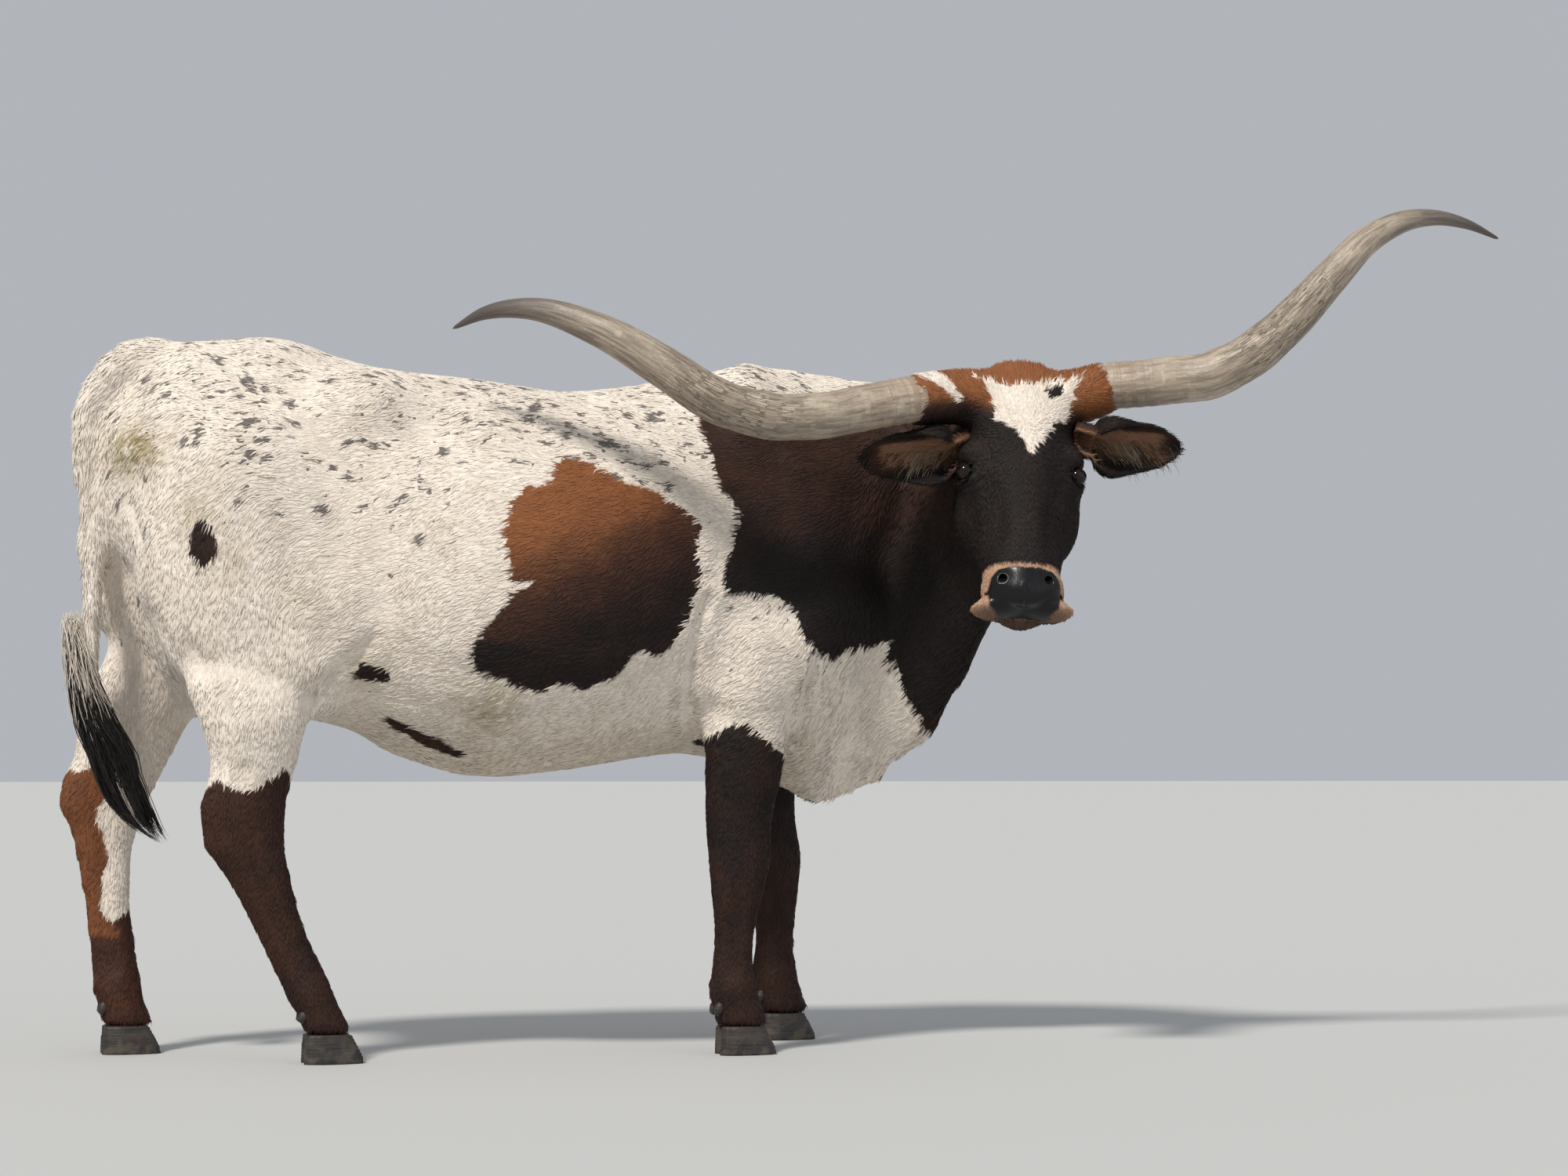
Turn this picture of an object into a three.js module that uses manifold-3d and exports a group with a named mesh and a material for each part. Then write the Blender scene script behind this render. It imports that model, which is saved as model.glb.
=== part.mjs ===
// A Texas longhorn steer standing at ease, life size, its head turned to its right.
// Millimetres. +X towards the head, +Y to the animal's left, +Z up, hoof soles at zero height.

import * as THREE from 'three';
import { ParametricGeometry } from 'three/addons/geometries/ParametricGeometry.js';
import { mergeVertices } from 'three/addons/utils/BufferGeometryUtils.js';
import Module from 'manifold-3d';

const wasm = await Module();
wasm.setup();

// driving dimensions
const GAP = 0.4;                 // between parts that meet
const WELD = 1e-3;               // vertices closer than this are one
const HUGE = 4000;               // side of the blocks that part the body
const RIGHT = -1;
const LEFT = 1;
const FORE_CUT = 620;            // height where a foreleg leaves the trunk
const HIND_CUT = 700;            // height where a hind leg leaves the thigh
const KNEE_CUT = 335;            // below the knee the cannon begins
const HOCK_CUT = 405;            // below the hock the cannon begins
const CLAW_TOP = 60;             // coronet, where the hoof begins
const CLAW = { length: 118, width: 45, spread: 25, toe: 14, slope: 0.06, pinch: 0.28, flatInside: 0.82 };
const DEWCLAW = { radius: 12, length: 34, height: 96, spread: 21, lean: 0.5, inset: 2 };
const EYE = { radius: 21, side: 124, front: -40, down: 232 };
const EAR = { width: 56, cup: 36, wall: 9, sink: 6, full: 0.6, narrowFrom: 0.24, narrowTo: 0.965 };
const POLL = new THREE.Vector3(842, -430, 1452);
const MARCH_STEP = 9;            // ray step while looking for the body's surface
const BISECTIONS = 14;
const RAY_LIMIT = 700;           // no part of the trunk or head is farther from its own axis
const TRUNK_END = 60;            // rounding of the trunk's two ends
const SKULL_END = 14;            // rounding of the skull's two ends
const SLOPE_STEP = 0.01;         // share of a curve's length over which its heading is taken

// mesh of each piece: sides round it, rings along it, rings in each rounded end
const MESH = {
  trunk: [28, 28, 5],
  head: [24, 24, 5],
  neck: [20, 10],
  limb: [10, 16],
  tail: [8, 16],
  tuft: [8, 12],
  horn: [10, 19],
  boss: [12, 8],
  ear: [10, 10],
  claw: [10, 5],
  dewclaw: [6, 4],
  eye: [10, 7],
};

// coats and horn, as flat colours
const COLOURS = {
  cream: { color: 0xd9cdbf, roughness: 0.85 },
  brown: { color: 0x3a1c12, roughness: 0.8 },
  black: { color: 0x17110f, roughness: 0.8 },
  hoof: { color: 0x2c2622, roughness: 0.6 },
  horn: { color: 0xb3a184, roughness: 0.55 },
  eye: { color: 0x140d0a, roughness: 0.08 },
};

// the trunk from the rump forward: place, top line, under line, half width, height of the widest line
const TRUNK_ROWS = [
  [-985, 1400, 1040, 95, 1230],
  [-940, 1482, 900, 150, 1200],
  [-880, 1503, 800, 205, 1170],
  [-795, 1506, 745, 225, 1150],
  [-722, 1520, 722, 232, 1140],
  [-630, 1508, 706, 240, 1120],
  [-530, 1474, 690, 262, 1070],
  [-440, 1455, 638, 300, 1030],
  [-340, 1447, 603, 335, 1000],
  [-237, 1438, 582, 350, 985],
  [-67, 1418, 596, 350, 985],
  [60, 1432, 616, 325, 1000],
  [185, 1454, 634, 290, 1020],
  [316, 1477, 628, 252, 1040],
  [400, 1485, 630, 232, 1060],
  [507, 1478, 660, 205, 1080],
  [610, 1464, 760, 165, 1110],
  [690, 1440, 880, 100, 1150],
];

// limbs from the top down: height, back edge, front edge, middle line from the body's centre, half width
const FORE_RIGHT = [
  [900, 250, 430, 150, 70],
  [780, 222, 415, 172, 78],
  [700, 206, 405, 184, 75],
  [636, 209, 392, 190, 68],
  [560, 210, 374, 190, 60],
  [487, 212, 359, 188, 52],
  [418, 218, 352, 187, 50],
  [370, 221, 347, 187, 51],
  [322, 231, 336, 186, 46],
  [260, 237, 321, 185, 37],
  [200, 233, 317, 184, 36],
  [150, 226, 326, 183, 43],
  [100, 230, 338, 183, 44],
  [58, 244, 352, 183, 44],
];
const FORE_LEFT = [
  [900, 370, 550, 150, 70],
  [780, 352, 540, 170, 78],
  [700, 345, 528, 180, 75],
  [636, 345, 519, 182, 68],
  [560, 350, 511, 182, 60],
  [487, 362, 511, 180, 52],
  [418, 381, 517, 178, 50],
  [361, 392, 519, 177, 51],
  [310, 403, 513, 176, 46],
  [255, 420, 506, 175, 37],
  [200, 418, 504, 175, 36],
  [145, 409, 513, 175, 43],
  [100, 413, 524, 175, 44],
  [58, 427, 538, 175, 44],
];
const HIND_RIGHT = [
  [980, -880, -640, 125, 66],
  [850, -890, -590, 148, 74],
  [770, -880, -580, 170, 78],
  [694, -848, -628, 186, 71],
  [625, -827, -642, 185, 58],
  [557, -831, -661, 182, 50],
  [488, -841, -670, 180, 47],
  [442, -836, -668, 180, 45],
  [388, -791, -659, 179, 40],
  [327, -757, -644, 178, 36],
  [250, -718, -617, 176, 33],
  [189, -688, -586, 175, 37],
  [145, -665, -568, 175, 44],
  [100, -642, -548, 175, 44],
  [58, -625, -530, 175, 44],
];
const HIND_LEFT = [
  [980, -980, -720, 125, 66],
  [850, -1020, -735, 148, 74],
  [770, -1052, -775, 170, 78],
  [694, -1076, -838, 182, 70],
  [627, -1082, -872, 180, 57],
  [588, -1100, -892, 180, 50],
  [540, -1106, -914, 180, 47],
  [500, -1094, -932, 180, 45],
  [459, -1080, -946, 179, 41],
  [400, -1066, -955, 178, 37],
  [316, -1049, -957, 177, 34],
  [221, -1038, -944, 176, 34],
  [150, -1030, -933, 175, 44],
  [100, -1022, -922, 175, 44],
  [58, -1010, -905, 175, 44],
];

// the neck from the shoulders to the skull: middle point, half width, reach up, reach down to the dewlap
const NECK_ROWS = [
  [380, 0, 1080, 190, 385, 400],
  [520, -10, 1085, 172, 385, 500],
  [640, -40, 1095, 148, 362, 500],
  [722, -95, 1125, 126, 325, 425],
  [786, -190, 1175, 110, 275, 305],
  [824, -285, 1222, 104, 222, 245],
  [840, -372, 1268, 96, 172, 210],
  [846, -430, 1290, 80, 130, 175],
];

// the head down the face: distance from the poll, half width, front, back, width of the flat face
const HEAD_ROWS = [
  [0, 74, -8, -110, 0.9],
  [50, 104, 8, -150, 0.92],
  [120, 116, 16, -185, 0.9],
  [200, 120, 18, -212, 0.84],
  [280, 116, 20, -222, 0.62],
  [350, 104, 22, -200, 0.56],
  [420, 90, 22, -160, 0.6],
  [480, 84, 18, -136, 0.78],
  [530, 78, 4, -122, 0.85],
  [560, 58, -22, -104, 0.8],
];

// horns from the base to the tip: centre line and radius
const HORN_RIGHT = [
  [590, -428, 1371, 49],
  [512, -438, 1356, 48],
  [397, -460, 1331, 48],
  [270, -474, 1325, 48],
  [150, -480, 1360, 46],
  [60, -480, 1414, 43],
  [-81, -450, 1496, 34],
  [-201, -400, 1538, 23],
  [-286, -335, 1536, 14],
  [-347, -280, 1508, 4],
];
const HORN_LEFT = [
  [1030, -456, 1411, 50],
  [1129, -490, 1420, 50],
  [1228, -530, 1433, 50],
  [1309, -570, 1477, 47],
  [1386, -600, 1550, 43],
  [1467, -620, 1640, 37],
  [1549, -620, 1719, 30],
  [1636, -610, 1764, 23],
  [1718, -590, 1779, 17],
  [1807, -560, 1774, 11],
  [1905, -520, 1752, 4],
];

// where the skin ends round each horn: place and radius
const BOSS_END = { right: [591, -428, 1371, 53], left: [1029, -456, 1411, 55] };

// the tail: centre line and radius, then its brush of hair
const TAIL_ROWS = [
  [-880, 0, 1455, 44],
  [-950, 0, 1464, 45],
  [-1010, 0, 1430, 44],
  [-1050, 0, 1363, 42],
  [-1062, 0, 1300, 40],
  [-1058, 0, 1225, 39],
  [-1050, 0, 1118, 30],
  [-1051, 0, 974, 24],
  [-1059, 0, 866, 21],
  [-1064, 0, 760, 25],
];
const SWITCH_ROWS = [
  [-1064, 0, 758, 25],
  [-1040, 0, 700, 34],
  [-1008, 0, 640, 42],
  [-985, 0, 575, 46],
  [-960, 0, 515, 40],
  [-925, 0, 465, 24],
  [-896, 0, 442, 5],
];

// the skull's own axes: down the face, out of the forehead, to the animal's left
const DOWN = new THREE.Vector3(-0.118, -0.36, -0.925).normalize();
const FACING = new THREE.Vector3(-0.21, -0.978, 0);
const OUT = FACING.clone().addScaledVector(DOWN, -FACING.dot(DOWN)).normalize();
const SIDE = new THREE.Vector3().crossVectors(OUT, DOWN);

const headPoint = (side, out, down) => POLL.clone()
  .addScaledVector(SIDE, side)
  .addScaledVector(OUT, out)
  .addScaledVector(DOWN, down);

const clamp01 = (t) => Math.min(1, Math.max(0, t));
const mix = (a, b, t) => a + (b - a) * t;
const vec = (p) => new THREE.Vector3(p[0], p[1], p[2]);

// a smooth curve through the rows at place t, counted in rows
function rowAt(rows, t) {
  const last = rows.length - 1;
  const k = Math.min(Math.max(Math.floor(t), 0), last - 1);
  const f = t - k;
  const pick = (i) => rows[Math.min(Math.max(i, 0), last)];
  const [p0, p1, p2, p3] = [pick(k - 1), pick(k), pick(k + 1), pick(k + 2)];
  return p1.map((_, c) => {
    const m1 = (p2[c] - p0[c]) / 2;
    const m2 = (p3[c] - p1[c]) / 2;
    const h = p2[c] - p1[c];
    return p1[c] + f * (m1 + f * (3 * h - 2 * m1 - m2 + f * (m1 + m2 - 2 * h)));
  });
}

// the row whose first column is x
function rowWhere(rows, x) {
  const first = rows[0][0];
  const last = rows[rows.length - 1][0];
  const up = last > first;
  if (up ? x <= first : x >= first) return rows[0];
  if (up ? x >= last : x <= last) return rows[rows.length - 1];
  let k = 0;
  while (up ? rows[k + 1][0] < x : rows[k + 1][0] > x) k += 1;
  const f = (x - rows[k][0]) / (rows[k + 1][0] - rows[k][0]);
  return rowAt(rows, k + f);
}

// soft union of two distances
function blend(a, b, soft) {
  const h = clamp01(0.5 + 0.5 * (b - a) / soft);
  return mix(b, a, h) - soft * h * (1 - h);
}

const muscle = (from, to, r0, r1, soft) => {
  const a = vec(from);
  const along = vec(to).sub(a);
  const square = along.lengthSq();
  const q = new THREE.Vector3();
  return {
    soft,
    at(p) {
      q.subVectors(p, a);
      const h = clamp01(q.dot(along) / square);
      return q.addScaledVector(along, -h).length() - mix(r0, r1, h);
    },
  };
};

const mound = (centre, radii, soft) => {
  const [cx, cy, cz] = centre;
  const [rx, ry, rz] = radii;
  return {
    soft,
    at(p) {
      const x = (p.x - cx) / rx;
      const y = (p.y - cy) / ry;
      const z = (p.z - cz) / rz;
      const k0 = Math.hypot(x, y, z);
      const k1 = Math.hypot(x / rx, y / ry, z / rz);
      return k1 > 0 ? k0 * (k0 - 1) / k1 : -Math.min(rx, ry, rz);
    },
  };
};

// a rounded section: half width w, reach h, measured at (a, b), with corner powers
function sectionGap(a, b, w, h, power) {
  const r = (Math.abs(a / w) ** power + Math.abs(b / h) ** power) ** (1 / power);
  return (r - 1) * Math.min(w, h);
}

function barrel(p) {
  const [x0] = TRUNK_ROWS[0];
  const [x1] = TRUNK_ROWS[TRUNK_ROWS.length - 1];
  const [, top, under, width, middle] = rowWhere(TRUNK_ROWS, p.x);
  const rise = p.z - middle;
  const side = rise > 0
    ? sectionGap(p.y, rise, width, top - middle, 1.95)
    : sectionGap(p.y, rise, width, middle - under, 2.2);
  const past = Math.max(x0 - p.x, p.x - x1, 0);
  return past > 0 ? Math.hypot(Math.max(side + TRUNK_END, 0), past) - TRUNK_END : side;
}

const TRUNK_FLESH = [
  mound([-500, -165, 1362], [95, 62, 62], 80),
  mound([-500, 165, 1362], [95, 62, 62], 80),
  mound([-945, -100, 1285], [52, 46, 55], 60),
  mound([-1000, 100, 1285], [60, 46, 60], 60),
  mound([-760, -165, 1200], [130, 88, 130], 80),
  mound([-780, 165, 1200], [130, 88, 130], 80),
  mound([-730, -148, 985], [195, 112, 280], 70),
  mound([-800, 148, 985], [210, 112, 280], 70),
  mound([-868, -122, 1045], [104, 92, 225], 60),
  mound([-965, 125, 1085], [118, 92, 240], 60),
  mound([-632, -172, 815], [84, 76, 125], 70),
  mound([-735, 172, 815], [84, 76, 125], 70),
  muscle([320, -110, 1390], [500, -150, 960], 80, 100, 70),
  muscle([320, 110, 1390], [520, 150, 960], 80, 100, 70),
  muscle([495, -148, 945], [300, -168, 780], 92, 98, 60),
  muscle([520, 148, 945], [410, 168, 780], 92, 98, 60),
  muscle([306, -172, 790], [304, -182, 720], 92, 80, 50),
  muscle([430, 170, 790], [436, 178, 720], 92, 80, 50),
  mound([548, 0, 694], [165, 90, 184], 70),
  mound([420, 0, 850], [200, 175, 220], 90),
  muscle([420, 0, 1210], [640, -50, 1220], 180, 158, 90),
  muscle([430, 0, 960], [650, -35, 930], 170, 112, 90),
];

function trunkForm(p) {
  return TRUNK_FLESH.reduce((d, part) => blend(d, part.at(p), part.soft), barrel(p));
}

const HEAD_FLESH = [
  mound([0, -34, 12], [70, 42, 30], 30),
  mound([-108, -50, 226], [32, 34, 48], 34),
  mound([108, -50, 226], [32, 34, 48], 34),
  mound([-86, -135, 290], [40, 66, 95], 40),
  mound([86, -135, 290], [40, 66, 95], 40),
  mound([0, -26, 498], [80, 52, 54], 26),
  mound([-46, -8, 486], [32, 32, 34], 20),
  mound([46, -8, 486], [32, 32, 34], 20),
  mound([-74, -70, 520], [30, 38, 30], 22),
  mound([74, -70, 520], [30, 38, 30], 22),
  mound([0, -84, 544], [52, 44, 27], 18),
];

// the head, with p given as side, out and down
function headForm(p) {
  const [, width, front, back, face] = rowWhere(HEAD_ROWS, p.z);
  const middle = (front + back) / 2;
  const reach = (front - back) / 2;
  const forward = clamp01((p.y - middle) / reach);
  const side = sectionGap(p.x, p.y - middle, width * mix(1, face, forward), reach, 2.5);
  const past = Math.max(-p.z, p.z - HEAD_ROWS[HEAD_ROWS.length - 1][0], 0);
  const skull = past > 0 ? Math.hypot(Math.max(side + SKULL_END, 0), past) - SKULL_END : side;
  return HEAD_FLESH.reduce((d, part) => blend(d, part.at(p), part.soft), skull);
}

// how far a ray runs from inside to the surface
function reachOf(form, from, ray, limit) {
  const p = new THREE.Vector3();
  let inside = 0;
  let outside = MARCH_STEP;
  while (outside < limit && form(p.copy(from).addScaledVector(ray, outside)) < 0) {
    inside = outside;
    outside += MARCH_STEP;
  }
  for (let i = 0; i < BISECTIONS; i += 1) {
    const middle = (inside + outside) / 2;
    if (form(p.copy(from).addScaledVector(ray, middle)) < 0) inside = middle;
    else outside = middle;
  }
  return inside;
}

// a closed mesh round a straight axis from start to end, each vertex cast out to the form
function castSkin(form, start, end, up, sides, rings, capRings) {
  const axis = end.clone().sub(start);
  const along = axis.clone().normalize();
  const across = new THREE.Vector3().crossVectors(up, along).normalize();
  const upright = new THREE.Vector3().crossVectors(along, across);
  const ray = new THREE.Vector3();
  const from = new THREE.Vector3();
  return new ParametricGeometry((u, v, target) => {
    const ring = Math.round(v * rings);
    const angle = (u % 1) * 2 * Math.PI;
    const tiltStart = clamp01(1 - ring / capRings);
    const tiltEnd = clamp01(1 - (rings - ring) / capRings);
    const tilt = (tiltEnd - tiltStart) * Math.PI / 2;
    const place = clamp01((ring - capRings) / (rings - 2 * capRings));
    from.copy(start).addScaledVector(axis, place);
    ray.copy(along).multiplyScalar(Math.sin(tilt))
      .addScaledVector(across, Math.cos(tilt) * Math.cos(angle))
      .addScaledVector(upright, Math.cos(tilt) * Math.sin(angle));
    target.copy(from).addScaledVector(ray, reachOf(form, from, ray, RAY_LIMIT));
  }, sides, rings);
}

// a closed mesh from a function of ring place and angle, its first and last rings shrunk to a point
function ringSkin(ringPoint, ringCentre, sides, rings) {
  return new ParametricGeometry((u, v, target) => {
    const ring = Math.round(v * rings);
    const place = clamp01((ring - 1) / (rings - 2));
    if (ring === 0 || ring === rings) target.copy(ringCentre(place));
    else target.copy(ringPoint(place, (u % 1) * 2 * Math.PI));
  }, sides, rings);
}

// a round tube through rows of x, y, z and radius; grow makes it a little fatter and longer
function roundTube(rows, sides, rings, { growth = () => 0, grow = 0 } = {}) {
  const last = rows.length - 1;
  const sideways = new THREE.Vector3(0, 1, 0);
  const middle = (place) => vec(rowAt(rows, place * last));
  const heading = (place) => middle(Math.min(1, place + SLOPE_STEP))
    .sub(middle(Math.max(0, place - SLOPE_STEP))).normalize();
  const centre = (place) => {
    const beyond = place === 0 ? -grow : 0;
    return middle(place).addScaledVector(heading(place), place === 1 ? grow : beyond);
  };
  return ringSkin((place, angle) => {
    const along = heading(place);
    const across = sideways.clone().addScaledVector(along, -sideways.dot(along)).normalize();
    const upright = new THREE.Vector3().crossVectors(along, across);
    const radius = rowAt(rows, place * last)[3] + growth(place) + grow;
    return centre(place).addScaledVector(across, Math.cos(angle) * radius)
      .addScaledVector(upright, Math.sin(angle) * radius);
  }, centre, sides, rings);
}

// a limb in level rings; grow makes it a little fatter, to cut room for it
function limbSkin(rows, side, sides, rings, grow = 0) {
  const last = rows.length - 1;
  const at = (place) => rowAt(rows, place * last);
  const centre = (place) => {
    const [z, back, front, out] = at(place);
    return new THREE.Vector3((back + front) / 2, side * out, z);
  };
  return ringSkin((place, angle) => {
    const [, back, front, , half] = at(place);
    const point = centre(place);
    point.x += Math.cos(angle) * ((front - back) / 2 + grow);
    point.y += Math.sin(angle) * (half + grow);
    return point;
  }, centre, sides, rings);
}

function neckSkin(sides, rings) {
  const last = NECK_ROWS.length - 1;
  const at = (place) => rowAt(NECK_ROWS, place * last);
  const centre = (place) => vec(at(place));
  return ringSkin((place, angle) => {
    const [, , , half, up, under] = at(place);
    const along = centre(Math.min(1, place + SLOPE_STEP)).sub(centre(Math.max(0, place - SLOPE_STEP)));
    along.z *= 0.3;
    along.normalize();
    const across = new THREE.Vector3(0, 0, 1).cross(along).normalize();
    const upright = new THREE.Vector3().crossVectors(along, across);
    const c = Math.cos(angle);
    const s = Math.sin(angle);
    const wide = s > 0 ? Math.sign(c) * Math.abs(c) ** 0.9 : Math.sign(c) * Math.abs(c) ** 1.35;
    return centre(place).addScaledVector(across, wide * half)
      .addScaledVector(upright, s * (s > 0 ? up : under));
  }, centre, sides, rings);
}

// a cupped leaf: the ear, opening the way that its face looks
function earSkin(root, tip, face, sides, rings) {
  const along = tip.clone().sub(root);
  const length = along.length();
  along.normalize();
  const look = face.clone().addScaledVector(along, -face.dot(along)).normalize();
  const across = new THREE.Vector3().crossVectors(along, look);
  const centre = (place) => root.clone().addScaledVector(along, length * place)
    .addScaledVector(look, -EAR.sink);
  return ringSkin((place, angle) => {
    const leaf = Math.sin(Math.PI * mix(EAR.narrowFrom, EAR.narrowTo, place)) ** EAR.full;
    const width = EAR.width * leaf;
    const cup = mix(1, 0.35, place) * EAR.cup * leaf;
    const s = Math.sin(angle);
    const depth = s > 0 ? cup + EAR.wall * leaf : -Math.max(cup * mix(-0.1, 1, clamp01(place * 3)), 0);
    return root.clone().addScaledVector(along, length * place)
      .addScaledVector(across, Math.cos(angle) * width)
      .addScaledVector(look, -s * depth);
  }, centre, sides, rings);
}

// a half hoof: a flat sole, a sloping wall and a toe that points forward
function clawSkin(heel, middleY, inner) {
  const levels = [[0, 1], [0.25, 0.985], [0.62, 0.9], [1, 0.8]];
  const top = CLAW_TOP - GAP;
  const at = (place) => rowAt(levels.map(([z, w]) => [z * top, w]), place * (levels.length - 1));
  const centre = (place) => {
    const [z, w] = at(place);
    return new THREE.Vector3(heel + CLAW.length * w * 0.5 + z * CLAW.slope, middleY, z);
  };
  return ringSkin((place, angle) => {
    const [, w] = at(place);
    const point = centre(place);
    const c = Math.cos(angle);
    const s = Math.sin(angle);
    const breadth = c > 0 ? Math.abs(s) ** 0.9 * (1 - CLAW.pinch * c) : Math.abs(s) ** 0.8;
    point.x += c * CLAW.length * w * 0.5 + (c > 0 ? CLAW.toe * c * (1 - place) * 0.5 : 0);
    const flat = Math.sign(s) === inner ? CLAW.flatInside : 1;
    point.y += Math.sign(s) * breadth * CLAW.width * 0.5 * w * flat;
    return point;
  }, centre, ...MESH.claw);
}

function volumeSign(positions, triangles) {
  let volume = 0;
  for (let i = 0; i < triangles.length; i += 3) {
    const [a, b, c] = [0, 1, 2].map((k) => positions.slice(3 * triangles[i + k], 3 * triangles[i + k] + 3));
    volume += a[0] * (b[1] * c[2] - b[2] * c[1]) + a[1] * (b[2] * c[0] - b[0] * c[2])
      + a[2] * (b[0] * c[1] - b[1] * c[0]);
  }
  return Math.sign(volume);
}

function solid(geometry) {
  const plain = geometry.clone();
  plain.deleteAttribute('normal');
  plain.deleteAttribute('uv');
  const merged = mergeVertices(plain, WELD);
  const positions = Array.from(merged.attributes.position.array);
  const index = Array.from(merged.index.array);
  const kept = [];
  for (let i = 0; i < index.length; i += 3) {
    const [a, b, c] = index.slice(i, i + 3);
    if (a !== b && b !== c && c !== a) kept.push(a, b, c);
  }
  if (volumeSign(positions, kept) < 0) kept.reverse();
  return new wasm.Manifold(new wasm.Mesh({
    numProp: 3,
    vertProperties: new Float32Array(positions),
    triVerts: new Uint32Array(kept),
  }));
}

// a block that fills the half space ahead of a plane
function ahead(point, direction) {
  const block = new THREE.BoxGeometry(HUGE, HUGE, HUGE);
  const turn = new THREE.Quaternion()
    .setFromUnitVectors(new THREE.Vector3(0, 0, 1), direction.clone().normalize());
  block.translate(0, 0, HUGE / 2);
  block.applyQuaternion(turn);
  block.translate(point.x, point.y, point.z);
  return solid(block);
}

// the two sides of a thin cut
function part(body, point, direction) {
  const unit = direction.clone().normalize();
  const front = body.intersect(ahead(point.clone().addScaledVector(unit, GAP / 2), unit));
  const rear = body.intersect(ahead(point.clone().addScaledVector(unit, -GAP / 2), unit.clone().negate()));
  return [front, rear];
}

const longhorn = new THREE.Group();

function addNode(name, body, look) {
  const mesh = body.getMesh();
  const geometry = new THREE.BufferGeometry();
  geometry.setAttribute('position', new THREE.BufferAttribute(new Float32Array(mesh.vertProperties), 3));
  geometry.setIndex(new THREE.BufferAttribute(new Uint32Array(mesh.triVerts), 1));
  geometry.computeVertexNormals();
  const node = new THREE.Mesh(geometry, new THREE.MeshStandardMaterial({ metalness: 0, ...COLOURS[look] }));
  node.name = name;
  longhorn.add(node);
}

const UP = new THREE.Vector3(0, 0, 1);

// a horn, with rings of growth near its base
const GROWTH = { end: 0.45, waves: 150, depth: 1.2 };
function horn(rows, grow = 0) {
  const growth = (place) => (place < GROWTH.end ? Math.sin(place * GROWTH.waves) * GROWTH.depth : 0);
  return solid(roundTube(rows, ...MESH.horn, { growth, grow }));
}

// the boss of skin and bone that carries a horn, from inside the skull
function boss(side, end) {
  const root = headPoint(side * 34, -46, 54);
  const middle = headPoint(side * 95, -44, 54).lerp(vec(end), 0.25);
  return solid(roundTube([
    [...root.toArray(), 56],
    [...middle.toArray(), 59],
    [...end],
  ], ...MESH.boss));
}

function makeHead(grow = 0) {
  const geometry = castSkin(
    (p) => headForm(p) - grow,
    new THREE.Vector3(0, -70, 60),
    new THREE.Vector3(0, -52, 500),
    new THREE.Vector3(0, 1, 0),
    ...MESH.head,
  );
  const toWorld = new THREE.Matrix4().makeBasis(SIDE, OUT, DOWN).setPosition(POLL);
  geometry.applyMatrix4(toWorld);
  return solid(geometry);
}

function makeTrunk() {
  return solid(castSkin(
    trunkForm,
    new THREE.Vector3(-880, 0, 1130),
    new THREE.Vector3(540, 0, 1060),
    UP,
    ...MESH.trunk,
  ));
}

const limbs = [
  { name: 'fore', side: RIGHT, rows: FORE_RIGHT, cut: FORE_CUT, joint: KNEE_CUT, heel: 240 },
  { name: 'fore', side: LEFT, rows: FORE_LEFT, cut: FORE_CUT, joint: KNEE_CUT, heel: 424 },
  { name: 'hind', side: RIGHT, rows: HIND_RIGHT, cut: HIND_CUT, joint: HOCK_CUT, heel: -632 },
  { name: 'hind', side: LEFT, rows: HIND_LEFT, cut: HIND_CUT, joint: HOCK_CUT, heel: -1016 },
];
const sideName = (side) => (side === RIGHT ? 'right' : 'left');

const tail = solid(roundTube(TAIL_ROWS, ...MESH.tail));
const tailRoom = solid(roundTube(TAIL_ROWS, ...MESH.tail, { grow: GAP }));
let body = makeTrunk().add(solid(neckSkin(...MESH.neck)));
for (const limb of limbs) {
  const whole = solid(limbSkin(limb.rows, limb.side, ...MESH.limb));
  const room = solid(limbSkin(limb.rows, limb.side, ...MESH.limb, GAP));
  const [top, below] = part(whole, new THREE.Vector3(0, 0, limb.cut), UP);
  const [, roomBelow] = part(room, new THREE.Vector3(0, 0, limb.cut + GAP), UP);
  body = body.subtract(roomBelow).add(top);
  const [upper, lower] = part(below, new THREE.Vector3(0, 0, limb.joint), UP);
  addNode(`${limb.name}_leg_${sideName(limb.side)}`, upper, 'brown');
  const [cannon] = part(lower, new THREE.Vector3(0, 0, CLAW_TOP), UP);
  const [, , , out] = limb.rows[limb.rows.length - 1];
  let foot = cannon;
  for (const inner of [RIGHT, LEFT]) {
    const y = limb.side * out - inner * CLAW.spread;
    const end = inner * limb.side > 0 ? 'inner' : 'outer';
    addNode(`claw_${limb.name}_${sideName(limb.side)}_${end}`, solid(clawSkin(limb.heel, y, inner)), 'hoof');
  }
  const [, backEdge] = rowWhere(limb.rows, DEWCLAW.height);
  for (const inner of [RIGHT, LEFT]) {
    const y = limb.side * out - inner * DEWCLAW.spread;
    const spur = (grow) => {
      const shape = new THREE.SphereGeometry(1, ...MESH.dewclaw);
      shape.scale(DEWCLAW.radius + grow, DEWCLAW.radius + grow, DEWCLAW.length / 2 + grow);
      shape.rotateY(DEWCLAW.lean);
      shape.translate(backEdge + DEWCLAW.inset, y, DEWCLAW.height);
      return solid(shape);
    };
    const end = inner * limb.side > 0 ? 'inner' : 'outer';
    foot = foot.subtract(spur(GAP));
    addNode(`dewclaw_${limb.name}_${sideName(limb.side)}_${end}`, spur(0), 'hoof');
  }
  addNode(`${limb.name}_cannon_${sideName(limb.side)}`, foot, 'brown');
}

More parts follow.
